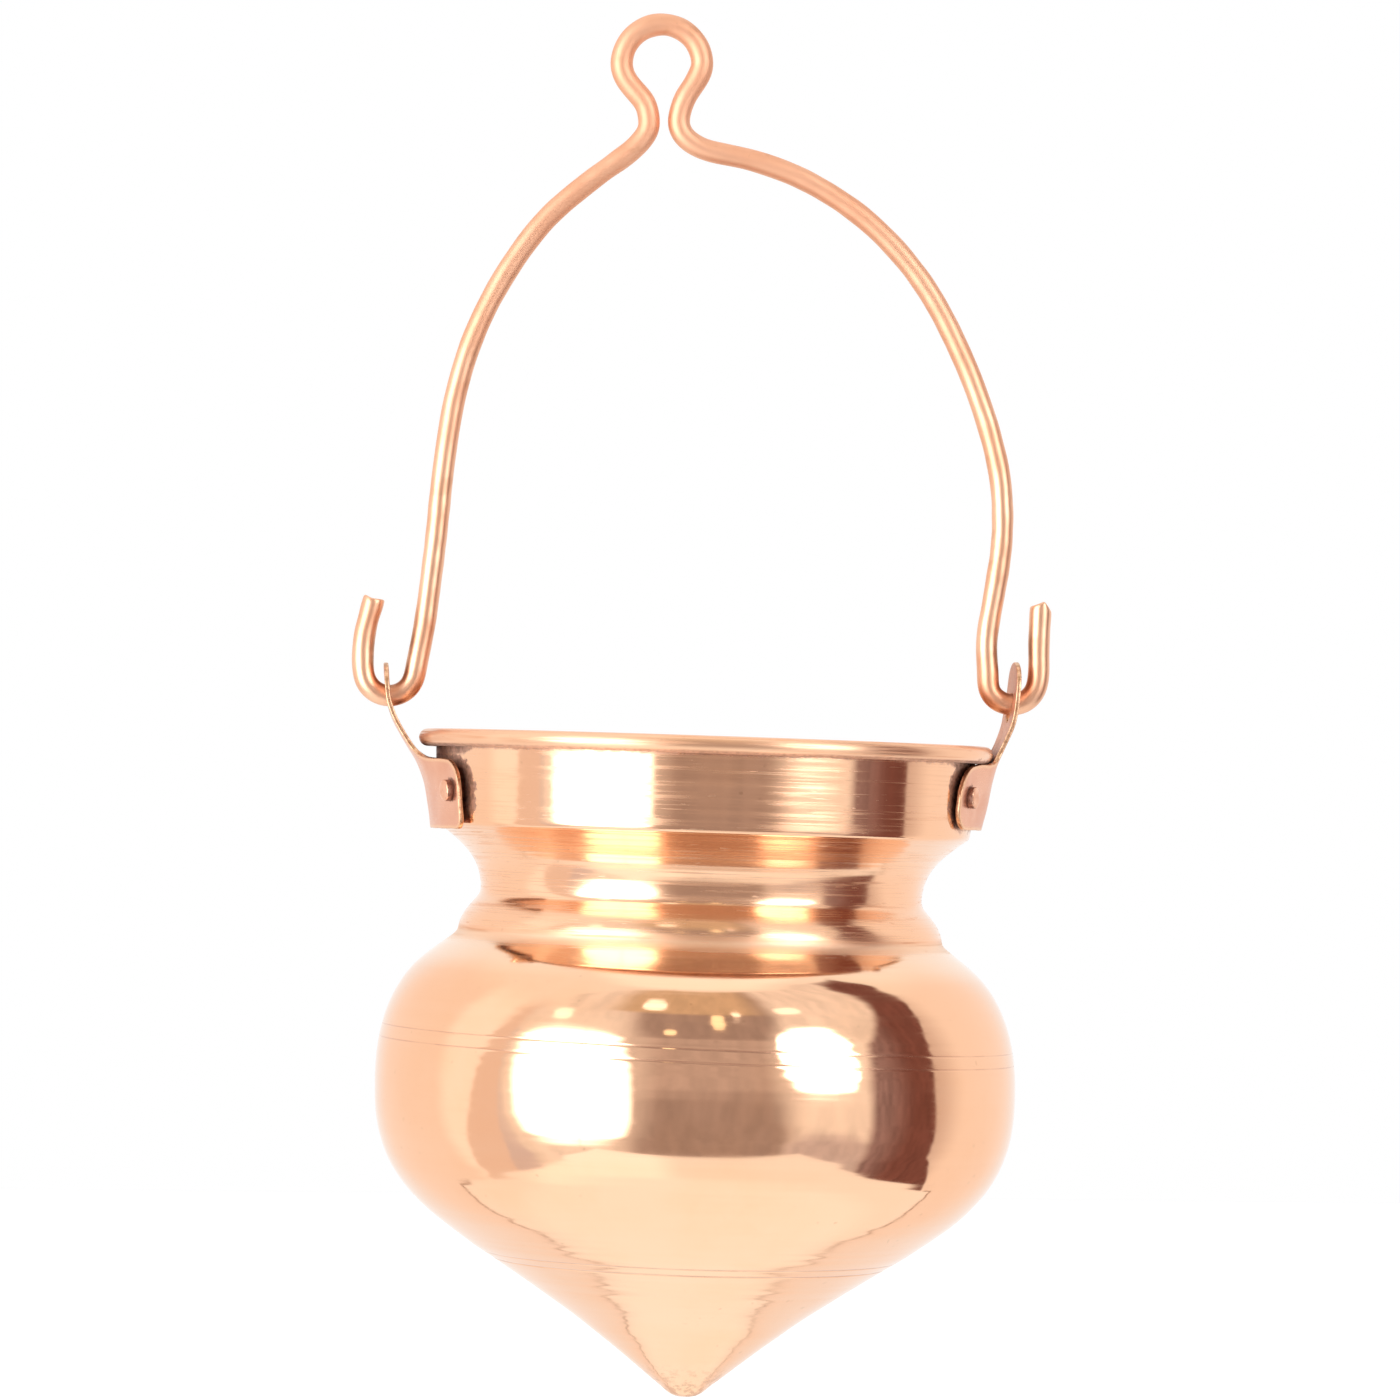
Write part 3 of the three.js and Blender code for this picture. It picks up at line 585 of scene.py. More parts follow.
def rivet_mesh(sheet, hand, seed, segments=44):
    place, direction, lean, wall_reach = rivet_frame(sheet, hand)
    tilt = math.tan(lean) * RIVET_HEAD_RADIUS
    head_top = EAR_SHEET / 2 + CLEARANCE + tilt + RIVET_HEAD_HEIGHT - RIVET_HEAD_WEAR
    head_foot = EAR_SHEET / 2 - RIVET_OVERLAP
    tail_top = -(wall_reach + VESSEL_WALL) + RIVET_OVERLAP
    tail_foot = -(wall_reach + VESSEL_WALL + CLEARANCE + tilt + RIVET_TAIL_HEIGHT)
    head = RIVET_HEAD_RADIUS
    edge_foot = head_top - RIVET_EDGE - RIVET_CROWN
    crown_shares = (0.8, 0.66, 0.5, 0.34, 0.18, 0.004)
    outline = np.concatenate((
        np.array([(0.01, tail_foot)]),
        arc((RIVET_TAIL_RADIUS - RIVET_EDGE, tail_foot + RIVET_EDGE), RIVET_EDGE, -90, 0, 5),
        np.array([
            (RIVET_TAIL_RADIUS, tail_top), (RIVET_SHANK_RADIUS, tail_top),
            (RIVET_SHANK_RADIUS, head_foot), (head * 0.97, head_foot), (head, head_foot + 0.15),
        ]),
        np.array([(head, edge_foot - 0.3)]),
        arc((head - RIVET_EDGE, edge_foot), RIVET_EDGE, 0, 80, 7),
        np.array([(head * share, head_top - RIVET_CROWN * share ** 2) for share in crown_shares]),
    ))
    source = random.Random(seed)
    turns = np.linspace(0, 2 * math.pi, segments, endpoint=False)
    bumps = [(source.randint(1, 5), source.uniform(0, 6.3), source.uniform(0.2, 1)) for _ in range(5)]
    uneven = sum(size * np.sin(n * turns + start) for n, start, size in bumps) / 5
    points, uvs = [], []
    for turn, rough in zip(turns, uneven):
        for radius, height in outline:
            on_head = smoothstep(height, head_foot, head_top)
            wide = radius * (1 + RIVET_UNEVENNESS * rough * on_head)
            worn = RIVET_TILTED_WEAR * on_head * radius / head * math.sin(turn + seed)
            tall = height - worn - RIVET_UNEVENNESS * on_head * (1 + rough)
            points.append((wide * math.cos(turn), wide * math.sin(turn), tall))
            uvs.append((radius * MM, (height - head_top) * MM))
    count = len(outline)
    faces = wall_faces(segments, count, count - 1)
    faces.append([column * count for column in range(segments)][::-1])
    faces.append([column * count + count - 1 for column in range(segments)])
    upright = Vector((0, 0, 1)).rotation_difference(Vector(direction)).to_matrix()
    return np.array(points) @ np.array(upright).T + place, faces, {"turned": np.array(uvs)}


# Bail

def wire_line(points, per_span=30):
    """Three.js's centripetal Catmull-Rom line, open at both ends."""
    points = np.asarray(points, float)
    ends = np.concatenate(([2 * points[0] - points[1]], points, [2 * points[-1] - points[-2]]))
    places = []
    for i in range(1, len(ends) - 2):
        p0, p1, p2, p3 = ends[i - 1:i + 3]
        d0, d1, d2 = (math.sqrt(np.linalg.norm(b - a)) for a, b in ((p0, p1), (p1, p2), (p2, p3)))
        m1 = ((p1 - p0) / d0 - (p2 - p0) / (d0 + d1) + (p2 - p1) / d1) * d1
        m2 = ((p2 - p1) / d1 - (p3 - p1) / (d1 + d2) + (p3 - p2) / d2) * d1
        for t in np.arange(per_span) / per_span:
            places.append(p1 + m1 * t + (-3 * p1 + 3 * p2 - 2 * m1 - m2) * t ** 2
                          + (2 * p1 - 2 * p2 + m1 + m2) * t ** 3)
    places.append(points[-1])
    return np.array(places)


def hook_points(side, rise, lean_angle, eye_span):
    seat = LOOP_OFFSET + side * eye_span / 2
    centre = HOOK_RADIUS - BAIL_DROP
    inward = math.sin(math.radians(lean_angle))
    leg_end = (seat + side * (HOOK_RADIUS - inward * rise), rise - BAIL_DROP)
    middle_x = seat + side * (HOOK_RADIUS - inward * HOOK_RADIUS / 2)
    leg_middle = (middle_x, (leg_end[1] + centre) / 2)
    points = [leg_end, leg_middle]
    for angle in (0, -30, -60, -90, -120, -150):
        turn = math.radians(angle)
        x = seat + side * HOOK_RADIUS * math.cos(turn)
        points.append((x, centre + HOOK_RADIUS * math.sin(turn)))
    return points


def bail_points(eye_span):
    loop_centre = WIRE_RADIUS - LOOP_RADIUS
    strand = NECK_GAP / 2 + WIRE_RADIUS

    def arm(side, shares):
        return [(LOOP_OFFSET + side * x * eye_span / 2, (z - 1) * BAIL_DROP) for x, z in shares]

    def from_loop(reach, shares):
        return [(x * reach, loop_centre + z * reach) for x, z in shares]

    turns = [math.radians(angle) for angle in (180, 150, 120, 90, 60, 30, 0)]
    return (
        hook_points(-1, *LEFT_HOOK, eye_span)
        + arm(-1, LEFT_ARM_SHARES)
        + from_loop(NECK_DROP, LEFT_BEND_SHARES[::-1])
        + [(NECK_SHIFT - strand, loop_centre - NECK_DROP)]
        + from_loop(LOOP_RADIUS, LEFT_LOOP_SHARES[::-1])
        + from_loop(LOOP_RADIUS, [(math.cos(turn), math.sin(turn)) for turn in turns])
        + from_loop(LOOP_RADIUS, RIGHT_LOOP_SHARES)
        + [(NECK_SHIFT + strand, loop_centre - NECK_DROP)]
        + from_loop(NECK_DROP, RIGHT_BEND_SHARES)
        + arm(1, RIGHT_ARM_SHARES)[::-1]
        + hook_points(1, *RIGHT_HOOK, eye_span)[::-1]
    )


def square_cut(x):
    """How far the left cut end falls back, in millimetres; x runs across from -1 at the left."""
    return -0.12 + 0.3 * smoothstep(x, -0.9, -0.2) * smoothstep(-x, -1, 0.2)


def pinched_cut(x):
    """The right end was nipped off, so it falls away to both sides of a ridge."""
    left_fall = 1.1 * np.maximum(0, (0.2 - x) / 1.2) ** 0.8
    return -0.35 + left_fall + 1.9 * np.maximum(0, (x - 0.2) / 0.8) ** 1.2


# How far a cut is felt along the wire, the rings that close an end (shift along the wire, share of
# the radius), how full the drawn wire is, and how much fuller it is at the loop
CUT_REACH = 6.0
CLOSING_RINGS = [(0.0, 0.02), (0.0, 0.3), (0.0, 0.6), (0.0, 0.86), (0.12, 0.95), (0.34, 1.0)]
WIRE_FULLNESS = 0.988
LOOP_FULLER = 0.06
WIRE_DENT = 0.022
WIRE_FLAT = 0.028


def bail_mesh(eye_span, sides=32):
    line = softened(wire_line(bail_points(eye_span)), 0.5, 1.1)
    tangent = unit_rows(np.gradient(line, axis=0))
    along = lengths_along(line)
    total = along[-1]
    dent = waves(21, 16, 4, 26)
    flat = waves(22, 14, 8, 40)
    turns = np.linspace(0, 2 * math.pi, sides, endpoint=False)
    points, uvs = [], []
    last = len(line) - 1
    rings = [(0, shift, share) for shift, share in CLOSING_RINGS]
    rings += [(i, 0.0, 1.0) for i in range(2, last - 1)]
    rings += [(last, -shift, share) for shift, share in CLOSING_RINGS[::-1]]
    for i, shift, share in rings:
        side = np.array((-tangent[i][1], tangent[i][0]))
        flattened = WIRE_FLAT * np.cos(2 * (turns + 0.6 * float(flat(along[i]))))
        rough = WIRE_DENT * float(dent(along[i])) + flattened
        fuller = LOOP_FULLER * smoothstep(line[i][1], -30, -8)
        radius = (WIRE_FULLNESS * WIRE_RADIUS + fuller + rough) * share
        across, depth = radius * np.cos(turns), radius * np.sin(turns)
        from_start, from_end = along[i] + shift, total - along[i] - shift
        slip = square_cut(share * np.cos(turns)) * max(0, 1 - from_start / CUT_REACH) ** 2
        slip = slip - pinched_cut(-share * np.cos(turns)) * max(0, 1 - from_end / CUT_REACH) ** 2
        for a, d, turn, moved in zip(across, depth, turns, shift + slip):
            centre = line[i] + tangent[i] * moved
            points.append((centre[0] + side[0] * a, d, centre[1] + side[1] * a))
            uvs.append((turn / (2 * math.pi), along[i] * MM))
    faces = []
    for ring in range(len(rings) - 1):
        for k in range(sides):
            following = (k + 1) % sides
            faces.append((
                ring * sides + k, ring * sides + following,
                (ring + 1) * sides + following, (ring + 1) * sides + k,
            ))
    faces.append(list(range(sides))[::-1])
    faces.append([(len(rings) - 1) * sides + k for k in range(sides)])
    return np.array(points), faces, {"turned": np.array(uvs)}


# Node trees

class Tree:
    """Short calls that add nodes to one tree and link them."""

    def __init__(self, tree):
        self.tree = tree
        tree.nodes.clear()

    def node(self, kind, inputs=None, **settings):
        made = self.tree.nodes.new("ShaderNode" + kind)
        for key, value in settings.items():
            setattr(made, key, value)
        for key, value in (inputs or {}).items():
            self.feed(made.inputs[key], value)
        return made

    def feed(self, socket, value):
        if isinstance(value, bpy.types.NodeSocket):
            self.tree.links.new(value, socket)
        else:
            socket.default_value = value

    def math(self, operation, first, second=0.0, third=0.0, clamp=False):
        inputs = {0: first, 1: second, 2: third}
        return self.node("Math", inputs, operation=operation, use_clamp=clamp).outputs[0]

    def fold(self, operation, values):
        result = values[0]
        for value in values[1:]:
            result = self.math(operation, result, value)
        return result

    def times(self, *values):
        return self.fold("MULTIPLY", values)

    def plus(self, *values):
        return self.fold("ADD", values)

    def most(self, *values):
        return self.fold("MAXIMUM", values)

    def minus(self, first, second):
        return self.math("SUBTRACT", first, second)

    def power(self, value, exponent):
        return self.math("POWER", value, exponent)

    def distance(self, first, second):
        return self.math("SQRT", self.plus(self.power(first, 2.0), self.power(second, 2.0)))

    def gap(self, value, place):
        """How far value lies from place, to either side."""
        return self.math("ABSOLUTE", self.minus(value, place))

    def fade(self, value, low, high, start=0.0, end=1.0):
        """A smooth step from start at low to end at high; low may be the larger."""
        inputs = {"Value": value, "From Min": low, "From Max": high, "To Min": start, "To Max": end}
        made = self.node("MapRange", interpolation_type="SMOOTHSTEP")
        for key, item in inputs.items():
            self.feed(made.inputs[key], item)
        return made.outputs[0]

    def ramp(self, factor, stops):
        made = self.node("ValToRGB", {0: factor})
        elements = made.color_ramp.elements
        while len(elements) < len(stops):
            elements.new(0.5)
        for element, (place, colour) in zip(elements, stops):
            element.position = place
            element.color = (*colour, 1) if isinstance(colour, tuple) else (colour, colour, colour, 1)
        return made.outputs[0]

    def mix(self, factor, first, second, blend="MIX"):
        made = self.node("Mix", data_type="RGBA", blend_type=blend)
        self.feed(made.inputs[0], factor)
        for socket, value in ((made.inputs[6], first), (made.inputs[7], second)):
            self.feed(socket, (*value, 1) if isinstance(value, tuple) else value)
        return made.outputs[2]

    def noise(self, vector, scale, detail=2.0, roughness=0.5, distortion=0.0):
        return self.node("TexNoise", {
            "Vector": vector, "Scale": scale, "Detail": detail, "Roughness": roughness,
            "Distortion": distortion,
        }).outputs["Fac"]

    def layer(self, label):
        return self.node("UVMap", uv_map=label).outputs[0]

    def split(self, vector):
        return self.node("SeparateXYZ", {0: vector}).outputs

    def joined(self, *parts):
        return self.node("CombineXYZ", dict(enumerate(parts))).outputs[0]


def pot_coordinates(tree):
    """Object coordinates turned back to the pot's upright frame, in metres."""
    place = tree.node("TexCoord").outputs["Object"]
    moved = tree.node("VectorMath", {0: place, 1: tuple(POT_PLACE * MM)}, operation="SUBTRACT")
    turned = {"Vector": moved.outputs[0], "Angle": -POT_ANGLE}
    return tree.node("VectorRotate", turned, rotation_type="Y_AXIS").outputs[0]


def spun_coordinates(tree, local, run, round_share):
    """Coordinates for what the spinner's tool leaves: a ring's direction, and length along the wall."""
    flat = tree.node("VectorMath", {0: local, 1: (1, 1, 0)}, operation="MULTIPLY").outputs[0]
    ring = tree.split(tree.node("VectorMath", {0: flat}, operation="NORMALIZE").outputs[0])
    return tree.joined(tree.times(ring[0], round_share), tree.times(ring[1], round_share), run)


COPPER = (0.965, 0.60, 0.395)
COPPER_BROWN = (0.36, 0.16, 0.075)
COPPER_TARNISH_AND_SHADE = (0.17, 0.085, 0.07)


def finished(name, tree, material, tint, rough, relief, bump_depth, bump_share, **sockets):
    """The shader that all four coppers share; constants go on its own sockets."""
    bump = tree.node("Bump", {"Height": relief, "Distance": bump_depth, "Strength": bump_share})
    shader = tree.node("BsdfPrincipled", {
        "Base Color": tint, "Metallic": 1.0, "Roughness": rough, "Normal": bump.outputs[0], **sockets,
    })
    tree.node("OutputMaterial", {0: shader.outputs[0]})
    material.name = name
    return material


def fresh_material(name="copper"):
    material = bpy.data.materials.new(name)
    material.use_nodes = True
    return material, Tree(material.node_tree)


def plate_reach(tree, ear, height, aside, ragged):
    """The tarnish round one ear's plate, and how near a place lies to the plate's side."""
    half_width = ear["plate_half_width"] * MM
    half_height = ear["plate_height"] / 2 * MM
    middle = (VESSEL_HEIGHT - ear["foot_below_top"] + ear["plate_height"] / 2) * MM
    corner = 0.006
    off_middle = tree.gap(height, middle)
    over_side = tree.most(tree.minus(aside, half_width - corner), 0.0)
    over_top = tree.most(tree.minus(off_middle, half_height - corner), 0.0)
    gap = tree.minus(tree.distance(over_side, over_top), corner)
    gap = tree.plus(gap, tree.fade(ragged, 0.3, 0.7, -0.0007, 0.0007),
                    tree.fade(off_middle, 0.002, 0.009, 0.0, 0.0016))
    reach = ear["tarnish_reach"] * MM
    return (tree.fade(gap, reach + 0.0003, reach - 0.0004),
            tree.fade(aside, half_width + 0.003, half_width - 0.003))


def vessel_copper():
    """Spun copper: buffed on the belly, tool lines above the crease, tarnish round the ears, a dark band
    below the rim that is partly tarnish and partly painted shade, and painted reflected light on the slopes
    below the collar and the crease.
    """
    material, tree = fresh_material()
    local = pot_coordinates(tree)
    across, depth, height = tree.split(local)
    run = tree.split(tree.layer("turned"))[1]
    spun = spun_coordinates(tree, local, run, 0.0018)
    close = spun_coordinates(tree, local, run, 0.0006)
    hairlines = tree.noise(close, 5200, 2, 0.6)
    tool_lines = tree.noise(close, 2300, 2, 0.55)
    broad_lines = tree.noise(spun, 900, 3, 0.62)
    bands = tree.noise(spun, 140, 2, 0.5)
    cloud = tree.noise(local, 34, 4, 0.6)
    fog = tree.noise(local, 90, 3, 0.6)
    speck = tree.noise(local, 620, 1, 0.5)
    ragged = tree.noise(local, 560, 3, 0.7)
    # the collar and neck keep more of the tool's marks than the buffed belly, the rim the most
    worked = tree.fade(height, 0.0865, 0.0925)
    collar = tree.fade(height, 0.1095, 0.1125)
    neck = tree.times(worked, tree.minus(1.0, collar))
    rim = tree.fade(run, 0.0066, 0.0061)
    marks = tree.most(tree.fade(tool_lines, 0.54, 0.64), tree.fade(broad_lines, 0.56, 0.66))
    patchy = tree.fade(tree.noise(local, 55, 2), 0.35, 0.62, 0.35, 1.0)
    kept = tree.plus(tree.times(worked, 0.5), tree.times(neck, 0.1), 0.06)
    marked = tree.times(marks, patchy, tree.most(kept, tree.times(rim, 0.9)))
    # brightness of the metal: a slow drift of tint, warm clouds and a few small spots
    tint = tree.mix(tree.fade(cloud, 0.42, 0.72, 0.0, 0.55), COPPER, (0.95, 0.555, 0.335))
    tint = tree.mix(tree.fade(bands, 0.5, 0.8, 0.0, 0.35), tint, (0.97, 0.63, 0.43))
    spots = tree.times(tree.fade(speck, 0.70, 0.78), tree.fade(fog, 0.5, 0.62))
    tint = tree.mix(tree.times(spots, 0.2), tint, COPPER_BROWN)
    tint = tree.mix(tree.times(marked, 0.5), tint, (0.86, 0.46, 0.27))
    tint = tree.mix(tree.times(rim, tool_lines, 0.8), tint, (0.95, 0.58, 0.38))
    # painted reflected light: a paler, yellower tint on the down-facing slopes below the collar's foot and
    # just below the crease
    off_crease = tree.gap(height, CREASE[1] * MM)
    painted_throat_light = tree.times(neck, tree.fade(height, 0.102, 0.107, 0.0, 0.25))
    painted_crease_light = tree.times(tree.fade(off_crease, 0.008, 0.003),
                              tree.fade(height, (CREASE[1] + 1) * MM, CREASE[1] * MM))
    tint = tree.mix(tree.times(tree.most(painted_crease_light, painted_throat_light), 0.75), tint, (1.0, 0.73, 0.53))
    # the scribed lines hold a little polish, and the nose is scuffed
    radius = tree.distance(across, depth)
    slanted_height = tree.plus(height, tree.times(tree.math("DIVIDE", across, radius), MM))
    scribed = tree.most(*[
        tree.fade(tree.gap(slanted_height if slope else height, line_height * MM),
                  width * 0.6 * MM, width * 0.2 * MM)
        for line_height, width, _, slope in SCRIBED
    ])
    scribed = tree.times(scribed, tree.fade(fog, 0.35, 0.6, 0.25, 0.8))
    tint = tree.mix(scribed, tint, (0.74, 0.41, 0.28))
    scuffed = tree.times(tree.fade(height, 0.009, 0.002), tree.fade(ragged, 0.46, 0.6))
    tint = tree.mix(tree.times(scuffed, 0.5), tint, (0.62, 0.34, 0.22))
    # fine scratches that run across the collar
    slanted = {"Vector": local, "Rotation": (0.5, 0.9, 0.2), "Scale": (1.0, 1.0, 14.0)}
    scratch = tree.noise(tree.node("Mapping", slanted).outputs[0], 190, 1, 0.4, 0.6)
    scratch = tree.times(tree.fade(scratch, 0.735, 0.76), worked, 0.8)
    # tarnish on the collar round the plates of the ears, and in the slit below the rim a dark band that is
    # partly tarnish and partly painted shade of the rim's roll
    outside = tree.fade(radius, 0.0526, 0.0530)
    angle = tree.math("ABSOLUTE", tree.math("ARCTAN2", depth, across))
    from_right = tree.times(angle, COLLAR_FOOT_RADIUS * MM)
    from_left = tree.times(tree.minus(math.pi, angle), COLLAR_FOOT_RADIUS * MM)
    round_right, near_right = plate_reach(tree, RIGHT_EAR, height, from_right, ragged)
    round_left, near_left = plate_reach(tree, LEFT_EAR, height, from_left, ragged)
    near_plates = tree.most(near_right, near_left)
    slit_top = (VESSEL_HEIGHT - 2 * RIM_ROLL_RADIUS) * MM
    wavy = tree.plus(height, tree.fade(ragged, 0.3, 0.7, -0.0002, 0.0002), tree.times(near_plates, 0.0012))
    # painted shade: the dark band below the rim's roll is partly its painted shadow and partly tarnish,
    # deepest near the ears
    rim_tarnish_and_shade = tree.times(
        tree.fade(wavy, slit_top - 0.0006, slit_top + 0.0001),
        tree.fade(height, slit_top + 0.0007, slit_top + 0.0003),
        tree.fade(near_plates, 0.0, 1.0, 0.6, 1.0),
    )
    # this mask also carries the painted shade below the rim's roll
    tarnish = tree.times(tree.most(round_right, round_left, rim_tarnish_and_shade), outside)
    stain = tree.fade(tree.noise(local, 900, 3, 0.65), 0.35, 0.65)
    stain = tree.mix(stain, (0.34, 0.20, 0.17), (0.66, 0.42, 0.34))
    tint = tree.mix(tree.times(tarnish, 0.8), tint, stain)
    rough = tree.plus(
        tree.fade(broad_lines, 0.35, 0.75, 0.05, 0.10), tree.fade(cloud, 0.35, 0.75, 0.0, 0.04),
        tree.times(worked, 0.03), tree.times(neck, 0.05), tree.times(rim, 0.22),
        tree.fade(off_crease, 0.0022, 0.0006, 0.0, 0.3), tree.times(marked, 0.34),
        tree.times(scratch, 0.3), tree.times(tree.most(scribed, scuffed), 0.2),
    )
    rough = tree.math("ADD", rough, tree.times(tarnish, 0.42), clamp=True)
    relief = tree.plus(tree.times(hairlines, 0.35), broad_lines, tree.times(tool_lines, 0.5))
    relief = tree.times(relief, tree.plus(tree.times(worked, 0.75), 0.25))
    tangent = tree.node("Tangent", direction_type="RADIAL", axis="Z").outputs[0]
    return finished("spun_copper", tree, material, tint, rough, relief, 0.00002, 0.12,
                    **{"Anisotropic": 0.7, "Anisotropic Rotation": 0.25, "Tangent": tangent})


def ear_copper(ear):
    """Hand-cut sheet: brushed faces, golden cut edges with a painted highlight beside them, painted shade on
    the hidden face, and rings of tarnish and painted shade round its rivets.
    """
    material, tree = fresh_material()
    local = pot_coordinates(tree)
    uv = tree.layer("turned")
    from_edge, face, _ = tree.split(tree.layer("edge"))
    drawn = {"Vector": uv, "Scale": (1.0, 12.0, 1.0), "Rotation": (0, 0, 1.35)}
    lines = tree.noise(tree.node("Mapping", drawn).outputs[0], 330, 4, 0.65)
    cloud = tree.noise(local, 120, 3, 0.55)
    ragged = tree.noise(local, 900, 3, 0.65)
    speck = tree.noise(local, 1300, 2, 0.5)
    tint = tree.mix(tree.fade(cloud, 0.4, 0.7, 0.0, 0.9), (0.86, 0.475, 0.33), (0.80, 0.41, 0.275))
    tint = tree.mix(tree.fade(lines, 0.5, 0.72, 0.0, 0.3), tint, (0.93, 0.57, 0.41))
    tint = tree.mix(tree.times(tree.fade(speck, 0.68, 0.78), 0.3), tint, COPPER_BROWN)
    # dark rings round the rivets, partly tarnish and partly painted shade beside the heads, wider on the
    # side away from the plate's middle
    aside, rise, _ = tree.split(uv)
    off_side = tree.minus(tree.math("ABSOLUTE", aside), ear["rivet_spread"] * MM)
    off_rise = tree.minus(rise, (ear["rivet_rise"] + 0.15) * MM)
    reach = tree.plus(tree.distance(off_side, off_rise), tree.fade(ragged, 0.3, 0.7, -0.0003, 0.0003))
    ring = tree.fade(tree.minus(reach, tree.times(off_side, 0.15)), 0.0026, 0.0021)
    # painted shade and painted highlight: the hidden face is painted dark, most where the plate lies against
    # the collar, and the outer face is painted bright along its cut edge
    hidden_face_shade = tree.fade(face, -0.75, -0.95)
    worn = tree.times(tree.fade(from_edge, 0.0009, 0.0003), tree.fade(face, 0.9, 1.0))
    stain = tree.mix(tree.fade(ragged, 0.35, 0.65), (0.26, 0.13, 0.10), (0.5, 0.27, 0.20))
    # painted highlight: a golden band along the outer face's cut edge
    tint = tree.mix(tree.times(worn, 0.7), tint, (0.97, 0.64, 0.40))
    # dark rings round the rivets: partly tarnish, partly painted shade beside the heads
    tint = tree.mix(tree.times(ring, 0.75), tint, COPPER_TARNISH_AND_SHADE)
    low = tree.fade(rise, (ear["plate_height"] + 7) * MM, (ear["plate_height"] + 1) * MM, 0.35, 1.0)
    # painted shade on the hidden face, darkest on the plate that lies against the collar
    tint = tree.mix(tree.times(hidden_face_shade, low), tint, stain)
    cut = tree.fade(tree.math("ABSOLUTE", face), 0.97, 0.8)
    cut_tint = tree.mix(tree.fade(ragged, 0.4, 0.7), (0.86, 0.54, 0.34), (0.52, 0.28, 0.16))
    tint = tree.mix(cut, tint, cut_tint)
    rough = tree.plus(
        tree.fade(lines, 0.3, 0.7, 0.24, 0.36), tree.fade(cloud, 0.35, 0.75, 0.0, 0.06),
        tree.times(tree.most(ring, hidden_face_shade), 0.2),
    )
    relief = tree.plus(lines, tree.times(cloud, 1.5))
    return finished(f"sheet_copper_{ear['name']}", tree, material, tint, rough, relief, 0.00003, 0.2)


def rivet_copper():
    """Heads with a worn top of plain copper, and a side wall painted dark as painted shade."""
    material, tree = fresh_material()
    local = pot_coordinates(tree)
    below_top = tree.split(tree.layer("turned"))[1]
    cloud = tree.noise(local, 420, 3, 0.6)
    ragged = tree.noise(local, 1100, 3, 0.65)
    tint = tree.mix(tree.fade(cloud, 0.4, 0.66, 0.0, 0.8), (0.93, 0.54, 0.37), (0.84, 0.43, 0.27))
    below_top = tree.plus(below_top, tree.fade(ragged, 0.3, 0.7, -0.00012, 0.00012))
    # painted shade: the side wall of each head, below its top, is painted dark
    side = tree.fade(below_top, -0.0002, -0.00038)
    stain = tree.mix(tree.fade(ragged, 0.35, 0.7), (0.2, 0.10, 0.08), (0.45, 0.25, 0.2))
    tint = tree.mix(tree.times(side, 0.9), tint, stain)
    rough = tree.plus(tree.fade(cloud, 0.3, 0.7, 0.24, 0.36), tree.times(side, 0.2))
    return finished("rivet_copper", tree, material, tint, rough, cloud, 0.00006, 0.3)


def wire_copper():
    """Drawn wire: satin, lightly spotted, duller towards the loop and dark inside the hooks."""
    material, tree = fresh_material()
    turn_share, run, _ = tree.split(tree.layer("turned"))
    turn = tree.times(turn_share, 2 * math.pi)
    cosine = tree.math("COSINE", turn)
    ring = tree.joined(tree.times(cosine, WIRE_RADIUS * MM),
                       tree.times(tree.math("SINE", turn), WIRE_RADIUS * MM), tree.times(run, 0.035))
    place = tree.node("TexCoord").outputs["Object"]
    height = tree.split(place)[2]
    drawn = tree.noise(ring, 2200, 2, 0.5)
    cloud = tree.noise(place, 90, 3, 0.55)
    stain = tree.noise(place, 230, 2, 0.45)
    speck = tree.noise(place, 1300, 2, 0.55)
    dull = tree.fade(height, -0.11, -0.03)
    tint = tree.mix(tree.fade(cloud, 0.36, 0.66, 0.0, 1.0), (0.92, 0.57, 0.385), (0.86, 0.48, 0.305))
    tint = tree.mix(tree.times(dull, 0.55), tint, (0.85, 0.455, 0.29))
    tint = tree.mix(tree.times(tree.fade(stain, 0.6, 0.74), 0.35), tint, (0.62, 0.31, 0.17))
    tint = tree.mix(tree.times(tree.fade(speck, 0.68, 0.78), 0.12), tint, COPPER_BROWN)
    inner = tree.times(tree.fade(cosine, 0.45, 0.9), tree.fade(height, -0.112, -0.122),
                       tree.fade(stain, 0.35, 0.6, 0.3, 0.9))
    tint = tree.mix(inner, tint, (0.33, 0.155, 0.085))
    rough = tree.plus(tree.fade(drawn, 0.3, 0.7, 0.34, 0.38), tree.fade(cloud, 0.35, 0.75, 0.0, 0.05),
                      tree.times(dull, 0.16))
    return finished("drawn_wire_copper", tree, material, tint, rough, stain, 0.00012, 0.35)


# Pieces

sheets = {ear["name"]: BentSheet(ear) for ear in (LEFT_EAR, RIGHT_EAR)}
eye_places = {}
for sheet in sheets.values():
    eye = sheet.point(np.array(0.0), np.array(EAR_BLANK_HEIGHT - sheet.ear["eye_below_tip"]))
    eye_places[sheet.ear["name"]] = np.array((sheet.ear["side"] * eye[0], eye[2]))
eye_run = eye_places["right"] - eye_places["left"]
eye_span = float(np.linalg.norm(eye_run))
eye_middle = (eye_places["left"] + eye_places["right"]) / 2
POT_ANGLE = math.atan2(eye_run[1], eye_run[0])
turn = Matrix.Rotation(POT_ANGLE, 3, "Y")
hang = EYE_RADIUS - WIRE_RADIUS - CLEARANCE
POT_PLACE = Vector((LOOP_OFFSET, 0, -BAIL_DROP - hang)) - turn @ Vector((eye_middle[0], 0, eye_middle[1]))


